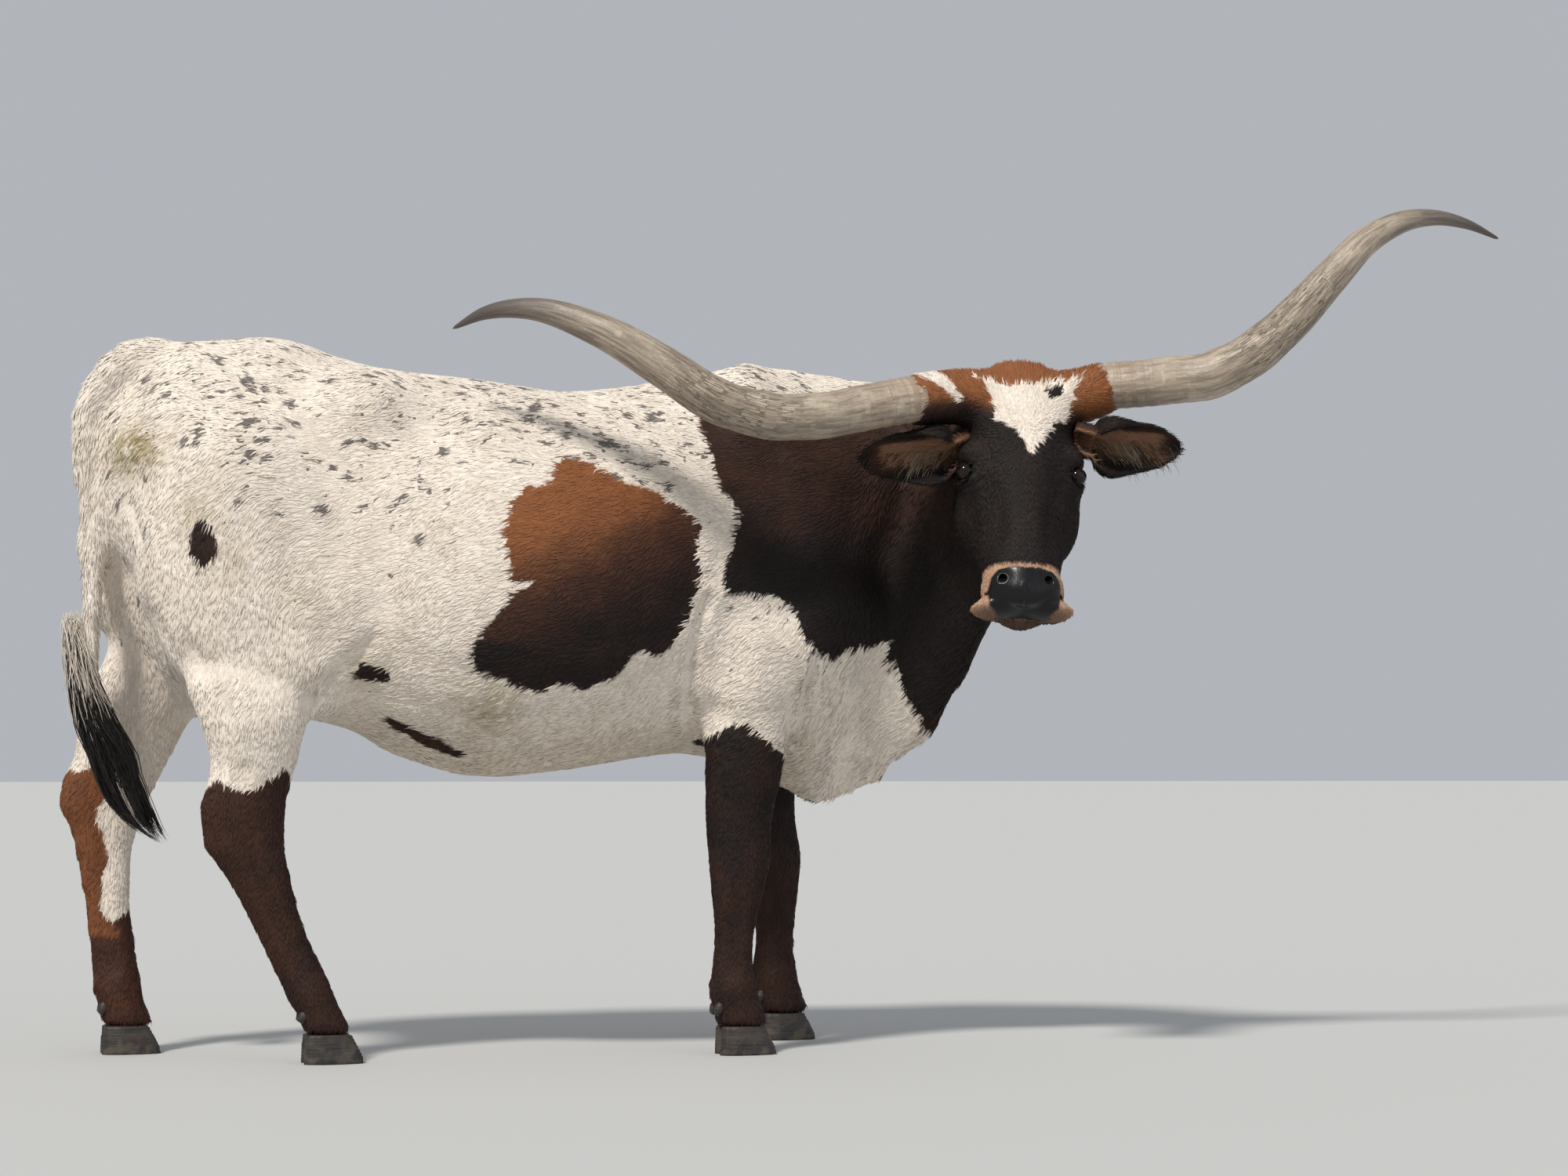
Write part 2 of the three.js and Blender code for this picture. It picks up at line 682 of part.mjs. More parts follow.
// the head joins the neck, makes room for horns, ears and eyes, and is parted behind the jaw
const EARS = [
  { side: RIGHT, root: [698, -402, 1274], tip: [508, -352, 1250] },
  { side: LEFT, root: [984, -470, 1292], tip: [1166, -516, 1276] },
];
const EAR_FACE = new THREE.Vector3(-0.3, -0.88, -0.36);
let skull = makeHead().add(boss(RIGHT, BOSS_END.right)).add(boss(LEFT, BOSS_END.left));
for (const [name, rows] of [['horn_right', HORN_RIGHT], ['horn_left', HORN_LEFT]]) {
  skull = skull.subtract(horn(rows, GAP));
  addNode(name, horn(rows), 'horn');
}
for (const { side, root, tip } of EARS) {
  const leaf = solid(earSkin(vec(root), vec(tip), EAR_FACE, ...MESH.ear));
  const clear = horn(side === RIGHT ? HORN_RIGHT : HORN_LEFT, GAP);
  addNode(`ear_${sideName(side)}`, leaf.subtract(skull).subtract(clear), 'black');
  const stretch = vec(root).sub(vec(tip)).normalize().multiplyScalar(GAP);
  skull = skull.subtract(leaf.translate([stretch.x, stretch.y, stretch.z])).subtract(leaf);
}
for (const side of [RIGHT, LEFT]) {
  const ball = (grow) => {
    const shape = new THREE.SphereGeometry(EYE.radius + grow, ...MESH.eye);
    const place = headPoint(side * EYE.side, EYE.front, EYE.down);
    shape.translate(place.x, place.y, place.z);
    return solid(shape);
  };
  skull = skull.subtract(ball(GAP));
  addNode(`eye_${sideName(side)}`, ball(0), 'eye');
}

const headPlane = vec([842, -362, 1270]);
const headWay = new THREE.Vector3(0.02, -0.97, -0.22);
const neckPlane = vec([585, -10, 1100]);
const neckWay = new THREE.Vector3(0.94, -0.3, -0.16);
const [neckAndOn, torso] = part(body, neckPlane, neckWay);
const [neckEnd, neck] = part(neckAndOn, headPlane, headWay);
addNode('head', skull.add(neckEnd), 'black');
addNode('neck', neck.subtract(makeHead(GAP)), 'black');

// the thighs are parted from the trunk by a slanting cut, and from each other along the middle
const thighPlane = vec([-545, 0, 690]);
const thighWay = new THREE.Vector3(-0.9, 0, -0.435);
const bare = torso.subtract(tailRoom);
const [rear, trunk] = part(bare, thighPlane, thighWay);
addNode('trunk', trunk, 'cream');
const [thighLeft, thighRight] = part(rear, vec([0, 0, 0]), new THREE.Vector3(0, 1, 0));
addNode('thigh_right', thighRight, 'cream');
addNode('thigh_left', thighLeft, 'cream');

addNode('tail', tail, 'cream');
addNode('tail_switch', solid(roundTube(SWITCH_ROWS, ...MESH.tuft)).subtract(tailRoom), 'black');

// the middle of the box goes over the origin, at floor height
const box = new THREE.Box3().setFromObject(longhorn);
longhorn.position.set(-(box.min.x + box.max.x) / 2, -(box.min.y + box.max.y) / 2, -box.min.z);
longhorn.updateMatrixWorld(true);

export default longhorn;
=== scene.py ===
import bpy
import math
import numpy as np
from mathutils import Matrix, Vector
from mathutils.bvhtree import BVHTree


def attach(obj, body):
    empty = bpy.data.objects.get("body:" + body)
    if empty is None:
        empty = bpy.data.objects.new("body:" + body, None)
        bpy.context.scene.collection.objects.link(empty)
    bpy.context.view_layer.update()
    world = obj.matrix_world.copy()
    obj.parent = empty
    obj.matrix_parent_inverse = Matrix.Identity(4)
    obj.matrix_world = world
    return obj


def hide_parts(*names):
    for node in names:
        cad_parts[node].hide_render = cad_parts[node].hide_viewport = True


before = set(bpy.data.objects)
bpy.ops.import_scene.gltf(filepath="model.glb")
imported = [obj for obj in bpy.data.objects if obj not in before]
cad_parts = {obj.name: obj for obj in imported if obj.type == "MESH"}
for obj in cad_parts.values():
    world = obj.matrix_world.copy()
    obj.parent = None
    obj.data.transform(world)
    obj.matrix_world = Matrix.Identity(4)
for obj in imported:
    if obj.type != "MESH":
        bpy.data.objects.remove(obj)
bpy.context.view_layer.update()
print("frame loaded")


def unit(v):
    v = np.asarray(v, float)
    return v / np.maximum(np.linalg.norm(v, axis=-1, keepdims=True), 1e-9)


def smoothStep(low, high, x):
    t = np.clip((x - low) / (high - low), 0, 1)
    return t * t * (3 - 2 * t)


def onlySelect(thing):
    bpy.ops.object.select_all(action="DESELECT")
    thing.select_set(True)
    bpy.context.view_layer.objects.active = thing


def pointsOf(thing):
    flat = np.empty(len(thing.data.vertices) * 3)
    thing.data.vertices.foreach_get("co", flat)
    return flat.reshape(-1, 3)


def setPoints(thing, points):
    thing.data.vertices.foreach_set("co", np.ascontiguousarray(points, dtype=np.float32).ravel())
    thing.data.update()


def normalsOf(thing):
    flat = np.empty(len(thing.data.vertices) * 3)
    thing.data.vertices.foreach_get("normal", flat)
    return flat.reshape(-1, 3)


def edgesOf(thing):
    flat = np.empty(len(thing.data.edges) * 2, dtype=np.int32)
    thing.data.edges.foreach_get("vertices", flat)
    return flat.reshape(-1, 2)


def addPaint(name):
    paint = bpy.data.materials.new(name)
    paint.use_nodes = True
    return paint, paint.node_tree, paint.node_tree.nodes["Principled BSDF"]


def smoothFaces(thing):
    thing.data.polygons.foreach_set("use_smooth", np.ones(len(thing.data.polygons), dtype=bool))


def joinAll(first, others):
    bpy.ops.object.select_all(action="DESELECT")
    for thing in others:
        thing.select_set(True)
    first.select_set(True)
    bpy.context.view_layer.objects.active = first
    bpy.ops.object.join()
    return bpy.context.view_layer.objects.active


def voxelRemesh(thing, size):
    onlySelect(thing)
    remesh = thing.modifiers.new("remesh", "REMESH")
    remesh.mode = "VOXEL"
    remesh.voxel_size = size
    bpy.ops.object.modifier_apply(modifier=remesh.name)


# both halves laid on the positive side
def foldOver(points):
    folded = points.copy()
    folded[:, 0] = np.abs(folded[:, 0])
    return folded


# v with its share along the way taken out
def squareTo(v, way):
    v = np.asarray(v, float)
    return unit(v - way * (v @ way))


def neighbourMean(values, edges):
    n = len(values)
    shares = np.bincount(edges[:, 0], minlength=n) + np.bincount(edges[:, 1], minlength=n)
    shares = np.maximum(shares, 1)
    if values.ndim == 1:
        total = np.bincount(edges[:, 0], weights=values[edges[:, 1]], minlength=n)
        total += np.bincount(edges[:, 1], weights=values[edges[:, 0]], minlength=n)
        return total / shares
    return np.stack([neighbourMean(values[:, k], edges) for k in range(values.shape[1])], 1)


def spread(values, edges, rounds):
    for _ in range(rounds):
        values = 0.5 * values + 0.5 * neighbourMean(values, edges)
    return values


# smooths the shape without thinning it: a step in, then a slightly longer step out
def relax(points, edges, rounds, weight):
    w = weight[:, None]
    for _ in range(rounds):
        points = points + 0.6 * w * (neighbourMean(points, edges) - points)
        points = points - 0.61 * w * (neighbourMean(points, edges) - points)
    return points


# the head's own axes: side is the animal's left, out is the way the face looks, down runs to the nose.
# Places on the head are in mm from the poll along them.
poll = np.array([0.4413, -0.2773, 1.452])
downWay = unit([-0.118, -0.36, -0.925])
faceWay = np.array([-0.21, -0.978, 0.0])
outWay = unit(faceWay - downWay * (faceWay @ downWay))
sideWay = np.cross(outWay, downWay)
headAxes = np.stack([sideWay, outWay, downWay])
midLine = 0.1527  # the body's middle plane, in y


def toHead(points):
    return (points - poll) @ headAxes.T * 1000


def fromHead(places):
    return np.asarray(places) / 1000 @ headAxes + poll


# the skin starts as the flesh nodes, joined and remeshed as one
skinParts = {
    "head": ["head"],
    "neck": ["neck"],
    "trunk": ["trunk"],
    "thigh": ["thigh_right", "thigh_left"],
    "limb": ["fore_leg_right", "fore_leg_left", "hind_leg_right", "hind_leg_left"],
    "cannon": ["fore_cannon_right", "fore_cannon_left", "hind_cannon_right", "hind_cannon_left"],
    "tail": ["tail"],
}
skinMake = {"voxel": 0.0131, "overlap": 0.0008, "weld": 0.00002}
partNames = list(skinParts)


# a copy of a CAD node, its loose triangles merged
def copyNode(name):
    onlySelect(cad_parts[name])
    bpy.ops.object.duplicate()
    made = bpy.context.view_layer.objects.active
    made.parent = None
    for key in list(made.keys()):
        del made[key]
    bpy.ops.object.mode_set(mode="EDIT")
    bpy.ops.mesh.select_all(action="SELECT")
    bpy.ops.mesh.remove_doubles(threshold=skinMake["weld"])
    bpy.ops.transform.shrink_fatten(value=skinMake["overlap"])
    bpy.ops.mesh.select_all(action="DESELECT")
    bpy.ops.object.mode_set(mode="OBJECT")
    made.data.materials.clear()
    return made


fleshCopies = []
partPoints = []
partFaces = []
partOfFace = []
reached = 0
for part, names in skinParts.items():
    for name in names:
        piece = copyNode(name)
        points = pointsOf(piece)
        partPoints.append(points)
        for face in piece.data.polygons:
            partFaces.append([reached + v for v in face.vertices])
            partOfFace.append(partNames.index(part))
        reached += len(points)
        fleshCopies.append(piece)
partTree = BVHTree.FromPolygons([tuple(p) for p in np.vstack(partPoints)], partFaces)
partOfFace = np.array(partOfFace)

skin = joinAll(fleshCopies[0], fleshCopies[1:])
skin.name = "skin"
voxelRemesh(skin, skinMake["voxel"])
print("skin remeshed", len(skin.data.vertices))


# how far each point belongs to each part, blended over the seams
def partWeights(thing, rounds):
    nearest = [partTree.find_nearest(tuple(p))[2] for p in pointsOf(thing)]
    ids = partOfFace[np.array(nearest)]
    edges = edgesOf(thing)
    return {name: spread((ids == k).astype(float), edges, rounds) for k, name in enumerate(partNames)}


weights = partWeights(skin, 4)
edges = edgesOf(skin)
points = pointsOf(skin)
for rounds, parts in ((60, ("trunk", "thigh", "neck")), (30, ("limb", "cannon", "tail")), (12, ("head",))):
    points = relax(points, edges, rounds, np.clip(sum(weights[name] for name in parts), 0, 1))
setPoints(skin, points)
print("skin smoothed")


def subdivideWhere(thing, chosen):
    onlySelect(thing)
    bpy.ops.object.mode_set(mode="EDIT")
    bpy.ops.mesh.select_mode(type="FACE")
    bpy.ops.mesh.select_all(action="DESELECT")
    bpy.ops.object.mode_set(mode="OBJECT")
    corners = np.empty(len(thing.data.polygons), dtype=np.int32)
    thing.data.polygons.foreach_get("loop_start", corners)
    firsts = np.empty(len(thing.data.loops), dtype=np.int32)
    thing.data.loops.foreach_get("vertex_index", firsts)
    thing.data.polygons.foreach_set("select", chosen[firsts[corners]])
    bpy.ops.object.mode_set(mode="EDIT")
    bpy.ops.mesh.subdivide(number_cuts=1)
    bpy.ops.mesh.select_all(action="DESELECT")
    bpy.ops.object.mode_set(mode="OBJECT")


# a grid is wrapped round a line into a closed tube; the shape function gives each point's place
def wrapTube(name, rings, sides, place):
    bpy.ops.object.select_all(action="DESELECT")
    bpy.ops.mesh.primitive_grid_add(x_subdivisions=rings, y_subdivisions=sides, size=2)
    tube = bpy.context.view_layer.objects.active
    tube.name = name
    flat = pointsOf(tube)
    along = (flat[:, 0] + 1) / 2
    turn = (flat[:, 1] + 1) * math.pi
    turn[flat[:, 1] > 0.99999] = 0
    setPoints(tube, place(along, turn))
    onlySelect(tube)
    bpy.ops.object.mode_set(mode="EDIT")
    bpy.ops.mesh.select_all(action="SELECT")
    bpy.ops.mesh.remove_doubles(threshold=skinMake["weld"])
    bpy.ops.mesh.normals_make_consistent(inside=False)
    bpy.ops.mesh.select_all(action="DESELECT")
    bpy.ops.object.mode_set(mode="OBJECT")
    smoothFaces(tube)
    return tube


earMake = {
    "right": {"root": (0.297, -0.249, 1.274), "tip": (0.107, -0.199, 1.250)},
    "left": {"root": (0.583, -0.317, 1.292), "tip": (0.765, -0.363, 1.276)},
    "facing": (-0.3, -0.88, -0.36),
    "halfWidth": 0.052,
    "rootWidth": 0.029,
    "wall": 0.0042,
    "inside": 0.22,  # the part sunk in the head, as a share of the length
    "bend": 0.012,
    "rings": 46,
    "sides": 56,
}


def earFrame(side):
    root, tip = (np.array(earMake[side][k]) for k in ("root", "tip"))
    way = unit(tip - root)
    return root, tip, way, squareTo(earMake["facing"], way)


def makeEar(side):
    root, tip, way, facing = earFrame(side)
    length = np.linalg.norm(tip - root)
    across = np.cross(facing, way)
    inside = earMake["inside"]

    def place(along, turn):
        t = along * (1 + inside) - inside
        leaf = np.clip(t, 0, 1)
        full = np.sin(math.pi * leaf**0.98) ** 0.60
        half = earMake["rootWidth"] * (1 - smoothStep(0, 0.5, leaf)) + earMake["halfWidth"] * full
        opening = 2.45 - 1.35 * smoothStep(-0.05, 0.75, t)
        radius = half / np.sin(np.minimum(opening, math.pi / 2))
        outer = turn < math.pi
        sweep = np.where(outer, turn / math.pi, 2 - turn / math.pi) * 2 - 1
        rim = 1 - np.abs(sweep) ** 6
        wall = earMake["wall"] * (0.35 + 0.65 * rim) * np.where(outer, 1, -1) * (1 + 0.8 * (1 - leaf))
        angle = sweep * opening
        reach = radius + wall
        closing = np.where((along < 0.001) | (along > 0.999), 0.0, 1.0)
        x = reach * np.sin(angle) * closing
        y = (-reach * np.cos(angle) + radius * 0.55) * closing
        bend = earMake["bend"] * np.sin(leaf * math.pi)
        droop = -0.02 * leaf**2 * length
        spine = root + way * (t * length)[:, None] + facing * (0.9 * length * np.minimum(t, 0))[:, None]
        spine = spine + facing * (bend - 0.008 * leaf)[:, None] + np.array([0, 0, 1]) * droop[:, None]
        return spine + across * x[:, None] + facing * y[:, None]

    return wrapTube("ear", earMake["rings"], earMake["sides"], place)


ears = [makeEar("right"), makeEar("left")]
eyeSpot = {"side": 117, "out": -42, "down": 237, "radius": 20}


def farFrom(place):
    return np.linalg.norm(foldOver(toHead(pointsOf(skin))) - np.array(place), axis=1)


# the head gets finer faces, the muzzle and the eyes finer still
lidMiddle = (121, -41, 232)
nostrilMiddle = (50, 0, 512)
subdivideWhere(skin, weights["head"] > 0.5)
where = toHead(pointsOf(skin))
inHead = (np.abs(where[:, 0]) < 200) & (where[:, 1] > -200) & (where[:, 1] < 100)
subdivideWhere(skin, inHead & ((where[:, 2] > 405) | (farFrom(lidMiddle) < 62)))
subdivideWhere(skin, (farFrom(lidMiddle) < 34) | (farFrom(nostrilMiddle) < 34))
print("head subdivided", len(skin.data.vertices))

weights = partWeights(skin, 6)
edges = edgesOf(skin)
points = pointsOf(skin)
where = toHead(points)
inHead = smoothStep(0.2, 0.7, weights["head"])


def blobDistance(p, centre, radii):
    q = (p - np.array(centre)) / np.array(radii)
    near = np.linalg.norm(q, axis=1)
    return near * (near - 1) / np.maximum(np.linalg.norm(q / np.array(radii), axis=1), 1e-9)


def blendBlobs(p, blobs, soft):
    total = None
    for centre, radii in blobs:
        d = blobDistance(p, centre, radii)
        if total is None:
            total = d
        else:
            h = np.clip(0.5 + 0.5 * (total - d) / soft, 0, 1)
            total = total * (1 - h) + d * h - soft * h * (1 - h)
    return total


# the muzzle: places and radii in mm down the head's own axes, right half mirrored from the left
muzzleBlobs = [
    ((0, -60, 462), (80, 80, 92)),
    ((0, -8, 516), (60, 28, 40)),
    ((48, -16, 505), (26, 28, 30)),
    ((57, -52, 547), (49, 40, 19)),
    ((50, -42, 508), (36, 38, 38)),
    ((0, -92, 534), (54, 34, 36)),
]
muzzleHeart = np.array([0, -58, 486])
muzzle = np.where((where[:, 2] > 415) & (inHead > 0.5))[0]
ray = where[muzzle] - muzzleHeart
ray = ray / np.linalg.norm(ray, axis=1, keepdims=True)
low = np.zeros(len(muzzle))
high = np.full(len(muzzle), 170.0)
for _ in range(20):
    middle = (low + high) / 2
    outside = blendBlobs(foldOver(muzzleHeart + ray * middle[:, None]), muzzleBlobs, 16) > 0
    high = np.where(outside, middle, high)
    low = np.where(outside, low, middle)
target = muzzleHeart + ray * low[:, None]
share = smoothStep(418, 478, where[muzzle, 2])[:, None]
where[muzzle] = where[muzzle] * (1 - share) + target * share
points = fromHead(where)
points = relax(points, edges, 5, inHead)
setPoints(skin, points)


def swell(where, normals, centre, radii, height, both=True):
    q = ((foldOver(where) if both else where) - np.array(centre)) / np.array(radii)
    return normals * (height * np.exp(-1.6 * (q**2).sum(1)))[:, None]


def lineDistance(p, line):
    line = np.array(line, float)
    best = np.full(len(p), 1e9)
    for a, b in zip(line[:-1], line[1:]):
        way = b - a
        t = np.clip(((p - a) @ way) / (way @ way), 0, 1)
        best = np.minimum(best, np.linalg.norm(p - (a + t[:, None] * way), axis=1))
    return best


# a groove along a line with a low bank on each side
def crease(p, normals, line, width, depth):
    d = lineDistance(p, line) / width
    return normals * (-depth * np.exp(-2.0 * d**2) + 0.28 * depth * np.exp(-1.2 * (d - 1.7) ** 2))[:, None]


# each swelling of the head is centre, radii and height in mm, and is made on both sides
headSwells = [
    ((112, -24, 196), (34, 30, 26), 11),
    ((120, -52, 262), (26, 30, 22), 4),
    ((98, -84, 214), (24, 30, 34), -7),
    ((92, -34, 318), (20, 26, 60), 5),
    ((64, 4, 372), (20, 18, 62), -6),
    ((30, 20, 388), (22, 16, 70), 3),
    ((100, -140, 300), (50, 60, 70), 7),
    ((70, -150, 420), (40, 40, 60), -6),
    ((0, 16, 205), (60, 30, 60), -3),
]
# line, width, depth: the mouth, the groove below the nose, the chin's notch, the fold under the eye
headCreases = [
    ([(104, -84, 508), (84, -84, 538), (52, -74, 560), (0, -68, 566)], 5, 8),
    ([(0, 24, 520), (0, 10, 548), (0, -24, 566)], 4, 3),
    ([(0, -100, 568), (0, -84, 572)], 6, 6),
    ([(84, -20, 262), (100, -30, 272), (116, -50, 270)], 6, 1.4),
]
normals = normalsOf(skin) @ headAxes.T
where = toHead(points)
move = np.zeros_like(where)
for centre, radii, height in headSwells:
    move += swell(where, normals, centre, radii, height)
for line, width, depth in headCreases:
    move += crease(foldOver(where), normals, line, width, depth)
where = where + move * inHead[:, None]
setPoints(skin, fromHead(where))

# nostrils: a comma hollow, round at one end and narrow at the tail
nostril = {
    "at": (46, 7, 507),
    "tail": (76, -24, 530),
    "wide": 11.0,
    "deep": 24.0,
    "way": (-0.15, -0.75, -0.62),
}
spot = foldOver(where)
hollow = lineDistance(spot, [nostril["at"], nostril["tail"]])
taper = 1 - 0.5 * smoothStep(52, 72, spot[:, 0])
hollow = hollow / (nostril["wide"] * taper)
sink = 1 - smoothStep(0.55, 1.15, hollow)
inward = np.tile(unit(nostril["way"]), (len(where), 1))
inward[:, 0] *= np.sign(where[:, 0])
front = smoothStep(470, 485, where[:, 2])
where = where + inward * (nostril["deep"] * sink * front)[:, None]

# lids: the skin wraps each eyeball and leaves an almond opening
lidMake = {"length": 17.0, "height": 8.0, "edge": 1.13, "under": 0.72, "fold": 2.6, "hollow": 2.2}
eyeWay = unit([0.86, 0.46, 0.05])
for side in (-1, 1):
    centre = np.array([side * eyeSpot["side"], eyeSpot["out"], eyeSpot["down"]])
    forward = eyeWay * np.array([side, 1, 1])
    upward = squareTo([0, 0.12, -1.0], forward)
    along = np.cross(forward, upward)
    q = where - centre
    far = np.linalg.norm(q, axis=1)
    x, y, z = q @ along, q @ upward, q @ forward
    near = (far < 60) & (z > -6)
    tilt = y - 0.12 * x * side
    opening = np.sqrt((x / lidMake["length"]) ** 2 + (tilt / lidMake["height"]) ** 2)
    r = eyeSpot["radius"]
    rise = smoothStep(0.86, 1.02, opening)
    wish = lidMake["under"] * r * (1 - rise) + lidMake["edge"] * r * rise
    wish = wish + np.exp(-((opening - 1.35) ** 2) * 7) * lidMake["fold"]
    wish = wish - np.exp(-((opening - 2.0) ** 2) * 9) * lidMake["hollow"]
    share = (1 - smoothStep(1.7, 2.7, opening)) * near
    where = centre + q * (1 + (wish / np.maximum(far, 1) - 1) * share)[:, None]
setPoints(skin, fromHead(where))
fine = smoothStep(470, 485, where[:, 2]) * 0.8
setPoints(skin, relax(pointsOf(skin), edgesOf(skin), 3, fine))
print("head shaped")

# the body, in metres: the hip is made smooth first
points = pointsOf(skin)
hipMake = {"middles": ((-0.84, 1.33), (-0.90, 0.80)), "rounds": 34, "share": 0.5}
hipSide = np.abs(points[:, 1] - midLine)
nearHip, nearFlank = (np.hypot(points[:, 0] - px, points[:, 2] - pz) for px, pz in hipMake["middles"])
smoothing = smoothStep(0.20, 0.09, nearHip) + smoothStep(0.10, 0.05, nearFlank)
smoothing = hipMake["share"] * smoothing * smoothStep(0.10, 0.14, hipSide)
hipEdges = edgesOf(skin)
for _ in range(hipMake["rounds"]):
    points = points + smoothing[:, None] * (neighbourMean(points, hipEdges) - points)
setPoints(skin, points)

# centre, radii, height: bone and muscle that stand out, and hollows between them
bodySwells = [
    ((-0.925, -0.08, 1.345), (0.085, 0.08, 0.075), 0.013),
    ((-0.88, -0.08, 1.385), (0.05, 0.06, 0.035), 0.006),
    ((-0.775, -0.09, 1.315), (0.085, 0.09, 0.085), -0.014),
    ((-0.98, -0.11, 0.93), (0.09, 0.07, 0.12), 0.012),
    ((-0.88, -0.12, 0.98), (0.05, 0.07, 0.14), -0.007),
    ((-1.37, 0.04, 1.24), (0.05, 0.05, 0.05), 0.010),
    ((-1.17, -0.05, 1.36), (0.09, 0.07, 0.05), -0.008),
    ((-0.10, -0.09, 0.86), (0.09, 0.07, 0.11), 0.014),
    ((0.08, -0.11, 0.98), (0.07, 0.06, 0.08), 0.012),
    ((-0.22, -0.15, 1.02), (0.06, 0.08, 0.16), -0.008),
    ((-0.09, -0.05, 1.31), (0.04, 0.06, 0.14), 0.006),
    ((-0.02, -0.05, 1.20), (0.04, 0.06, 0.14), -0.006),
    ((-0.50, -0.16, 1.02), (0.25, 0.10, 0.20), 0.008),
    ((-0.26, -0.10, 0.66), (0.08, 0.08, 0.05), -0.010),
]
# line, width, depth and how far the left side's fold is moved, because its leg stands elsewhere
bodyCreases = [
    ([(-0.20, 0.0, 0.66), (-0.225, -0.07, 0.74), (-0.235, -0.10, 0.80), (-0.225, -0.12, 0.88),
      (-0.20, -0.13, 0.96)], 0.013, 0.013, 0.13),
    ([(0.05, 0.04, 0.62), (0.035, -0.02, 0.69), (0.03, -0.07, 0.77),
      (0.05, -0.09, 0.84)], 0.012, 0.010, 0.13),
    ([(-1.06, -0.02, 0.69), (-1.01, -0.09, 0.76), (-0.975, -0.09, 0.80), (-0.93, -0.09, 0.83),
      (-0.90, -0.09, 0.87)], 0.020, 0.009, -0.28),
    ([(-1.39, 0.05, 1.15), (-1.33, -0.02, 1.00), (-1.27, -0.05, 0.86),
      (-1.22, -0.05, 0.74)], 0.018, 0.006, -0.25),
    ([(-0.13, -0.09, 1.18), (-0.17, -0.12, 1.06), (-0.18, -0.12, 0.99)], 0.016, 0.005, 0.0),
]
ribMake = {"count": 9, "step": 0.055, "width": 0.016, "depth": 0.0015}
ribLine = np.array([(-0.66, -0.10, 1.27), (-0.72, -0.19, 1.05), (-0.73, -0.17, 0.86)])
points = pointsOf(skin)
normals = normalsOf(skin)
bodyWeight = np.clip(1 - weights["head"] * 2, 0, 1)
leftPoints = np.stack([points[:, 0], 2 * midLine - points[:, 1], points[:, 2]], 1)
move = np.zeros_like(points)
for centre, radii, height in bodySwells:
    move += swell(points, normals, centre, radii, height, both=False)
    move += swell(leftPoints, normals, centre, radii, height, both=False)
for line, width, depth, shift in bodyCreases:
    move += crease(points, normals, line, width, depth)
    farLine = [(px + shift, py, pz) for px, py, pz in line]
    move += crease(leftPoints, normals, farLine, width, depth)
for k in range(ribMake["count"]):
    line = ribLine + np.array([ribMake["step"] * k, 0, 0])
    for side in (points, leftPoints):
        move += crease(side, normals, line, ribMake["width"], ribMake["depth"])
# shallow folds across the neck
neckX, neckZ = points[:, 0], points[:, 2]
fold = np.sin((neckX * 0.85 - points[:, 1] * 0.6) * 62 + 2.2 * np.sin(neckZ * 7))
fold = fold * (0.6 + 0.4 * np.sin(neckZ * 15 + neckX * 9))
move += normals * (0.0022 * fold * weights["neck"] * smoothStep(1.35, 0.9, neckZ))[:, None]
# each leg's own centre line, so that grooves and joints can be set round it
legOf = (points[:, 0] > -0.6) * 2 + (points[:, 1] > midLine)
inLegs = (weights["limb"] + weights["cannon"] > 0.5) & (points[:, 2] < 0.62)
legOffset = np.zeros((len(points), 2))
for k in range(4):
    here = inLegs & (legOf == k)
    for axis in (0, 1):
        curve = np.polyfit(points[here, 2], points[here, axis], 4)
        legOffset[here, axis] = points[here, axis] - np.polyval(curve, points[here, 2])
turn = np.arctan2(np.abs(legOffset[:, 1]), legOffset[:, 0])
isFore = legOf > 1
height = points[:, 2]
cannonTop = np.where(isFore, 0.34, 0.46)
onCannon = inLegs * smoothStep(0.15, 0.19, height) * smoothStep(0.03, -0.03, height - cannonTop)


def bell(x, middle, width):
    return np.exp(-(((x - middle) / width) ** 2))


rise = 0.003 * bell(turn, 2.9, 0.55) * onCannon  # the tendon down the back
rise -= 0.0055 * bell(turn, 1.75, 0.25) * onCannon  # the groove beside it
rise += 0.005 * bell(height, 0.135, 0.028) * smoothStep(0.9, 2.4, turn) * inLegs  # fetlock
rise += 0.006 * bell(height, 0.415, 0.05) * smoothStep(1.6, 0.5, turn) * inLegs * isFore  # knee
rise += 0.009 * bell(height, 0.53, 0.045) * smoothStep(1.9, 2.8, turn) * inLegs * ~isFore  # point of the hock
rise -= 0.007 * bell(height, 0.60, 0.05) * bell(turn, 2.1, 0.35) * inLegs * ~isFore  # hollow above the hock
rise += 0.002 * bell(height, 0.075, 0.018) * inLegs  # coronet
move += normals * rise[:, None]
# the tail stands off the rump
tailEdge = 4 * weights["tail"] * (1 - weights["tail"]) * smoothStep(1.44, 1.38, height)
move -= normals * (0.007 * tailEdge)[:, None]
setPoints(skin, points + move * bodyWeight[:, None])
points = relax(pointsOf(skin), edgesOf(skin), 3, bodyWeight)
setPoints(skin, points)
print("body shaped")

skinCount = len(skin.data.vertices)
skin = joinAll(skin, ears)
skin.name = "skin"
print("ears joined", len(skin.data.vertices), sum(len(f.vertices) - 2 for f in skin.data.polygons))


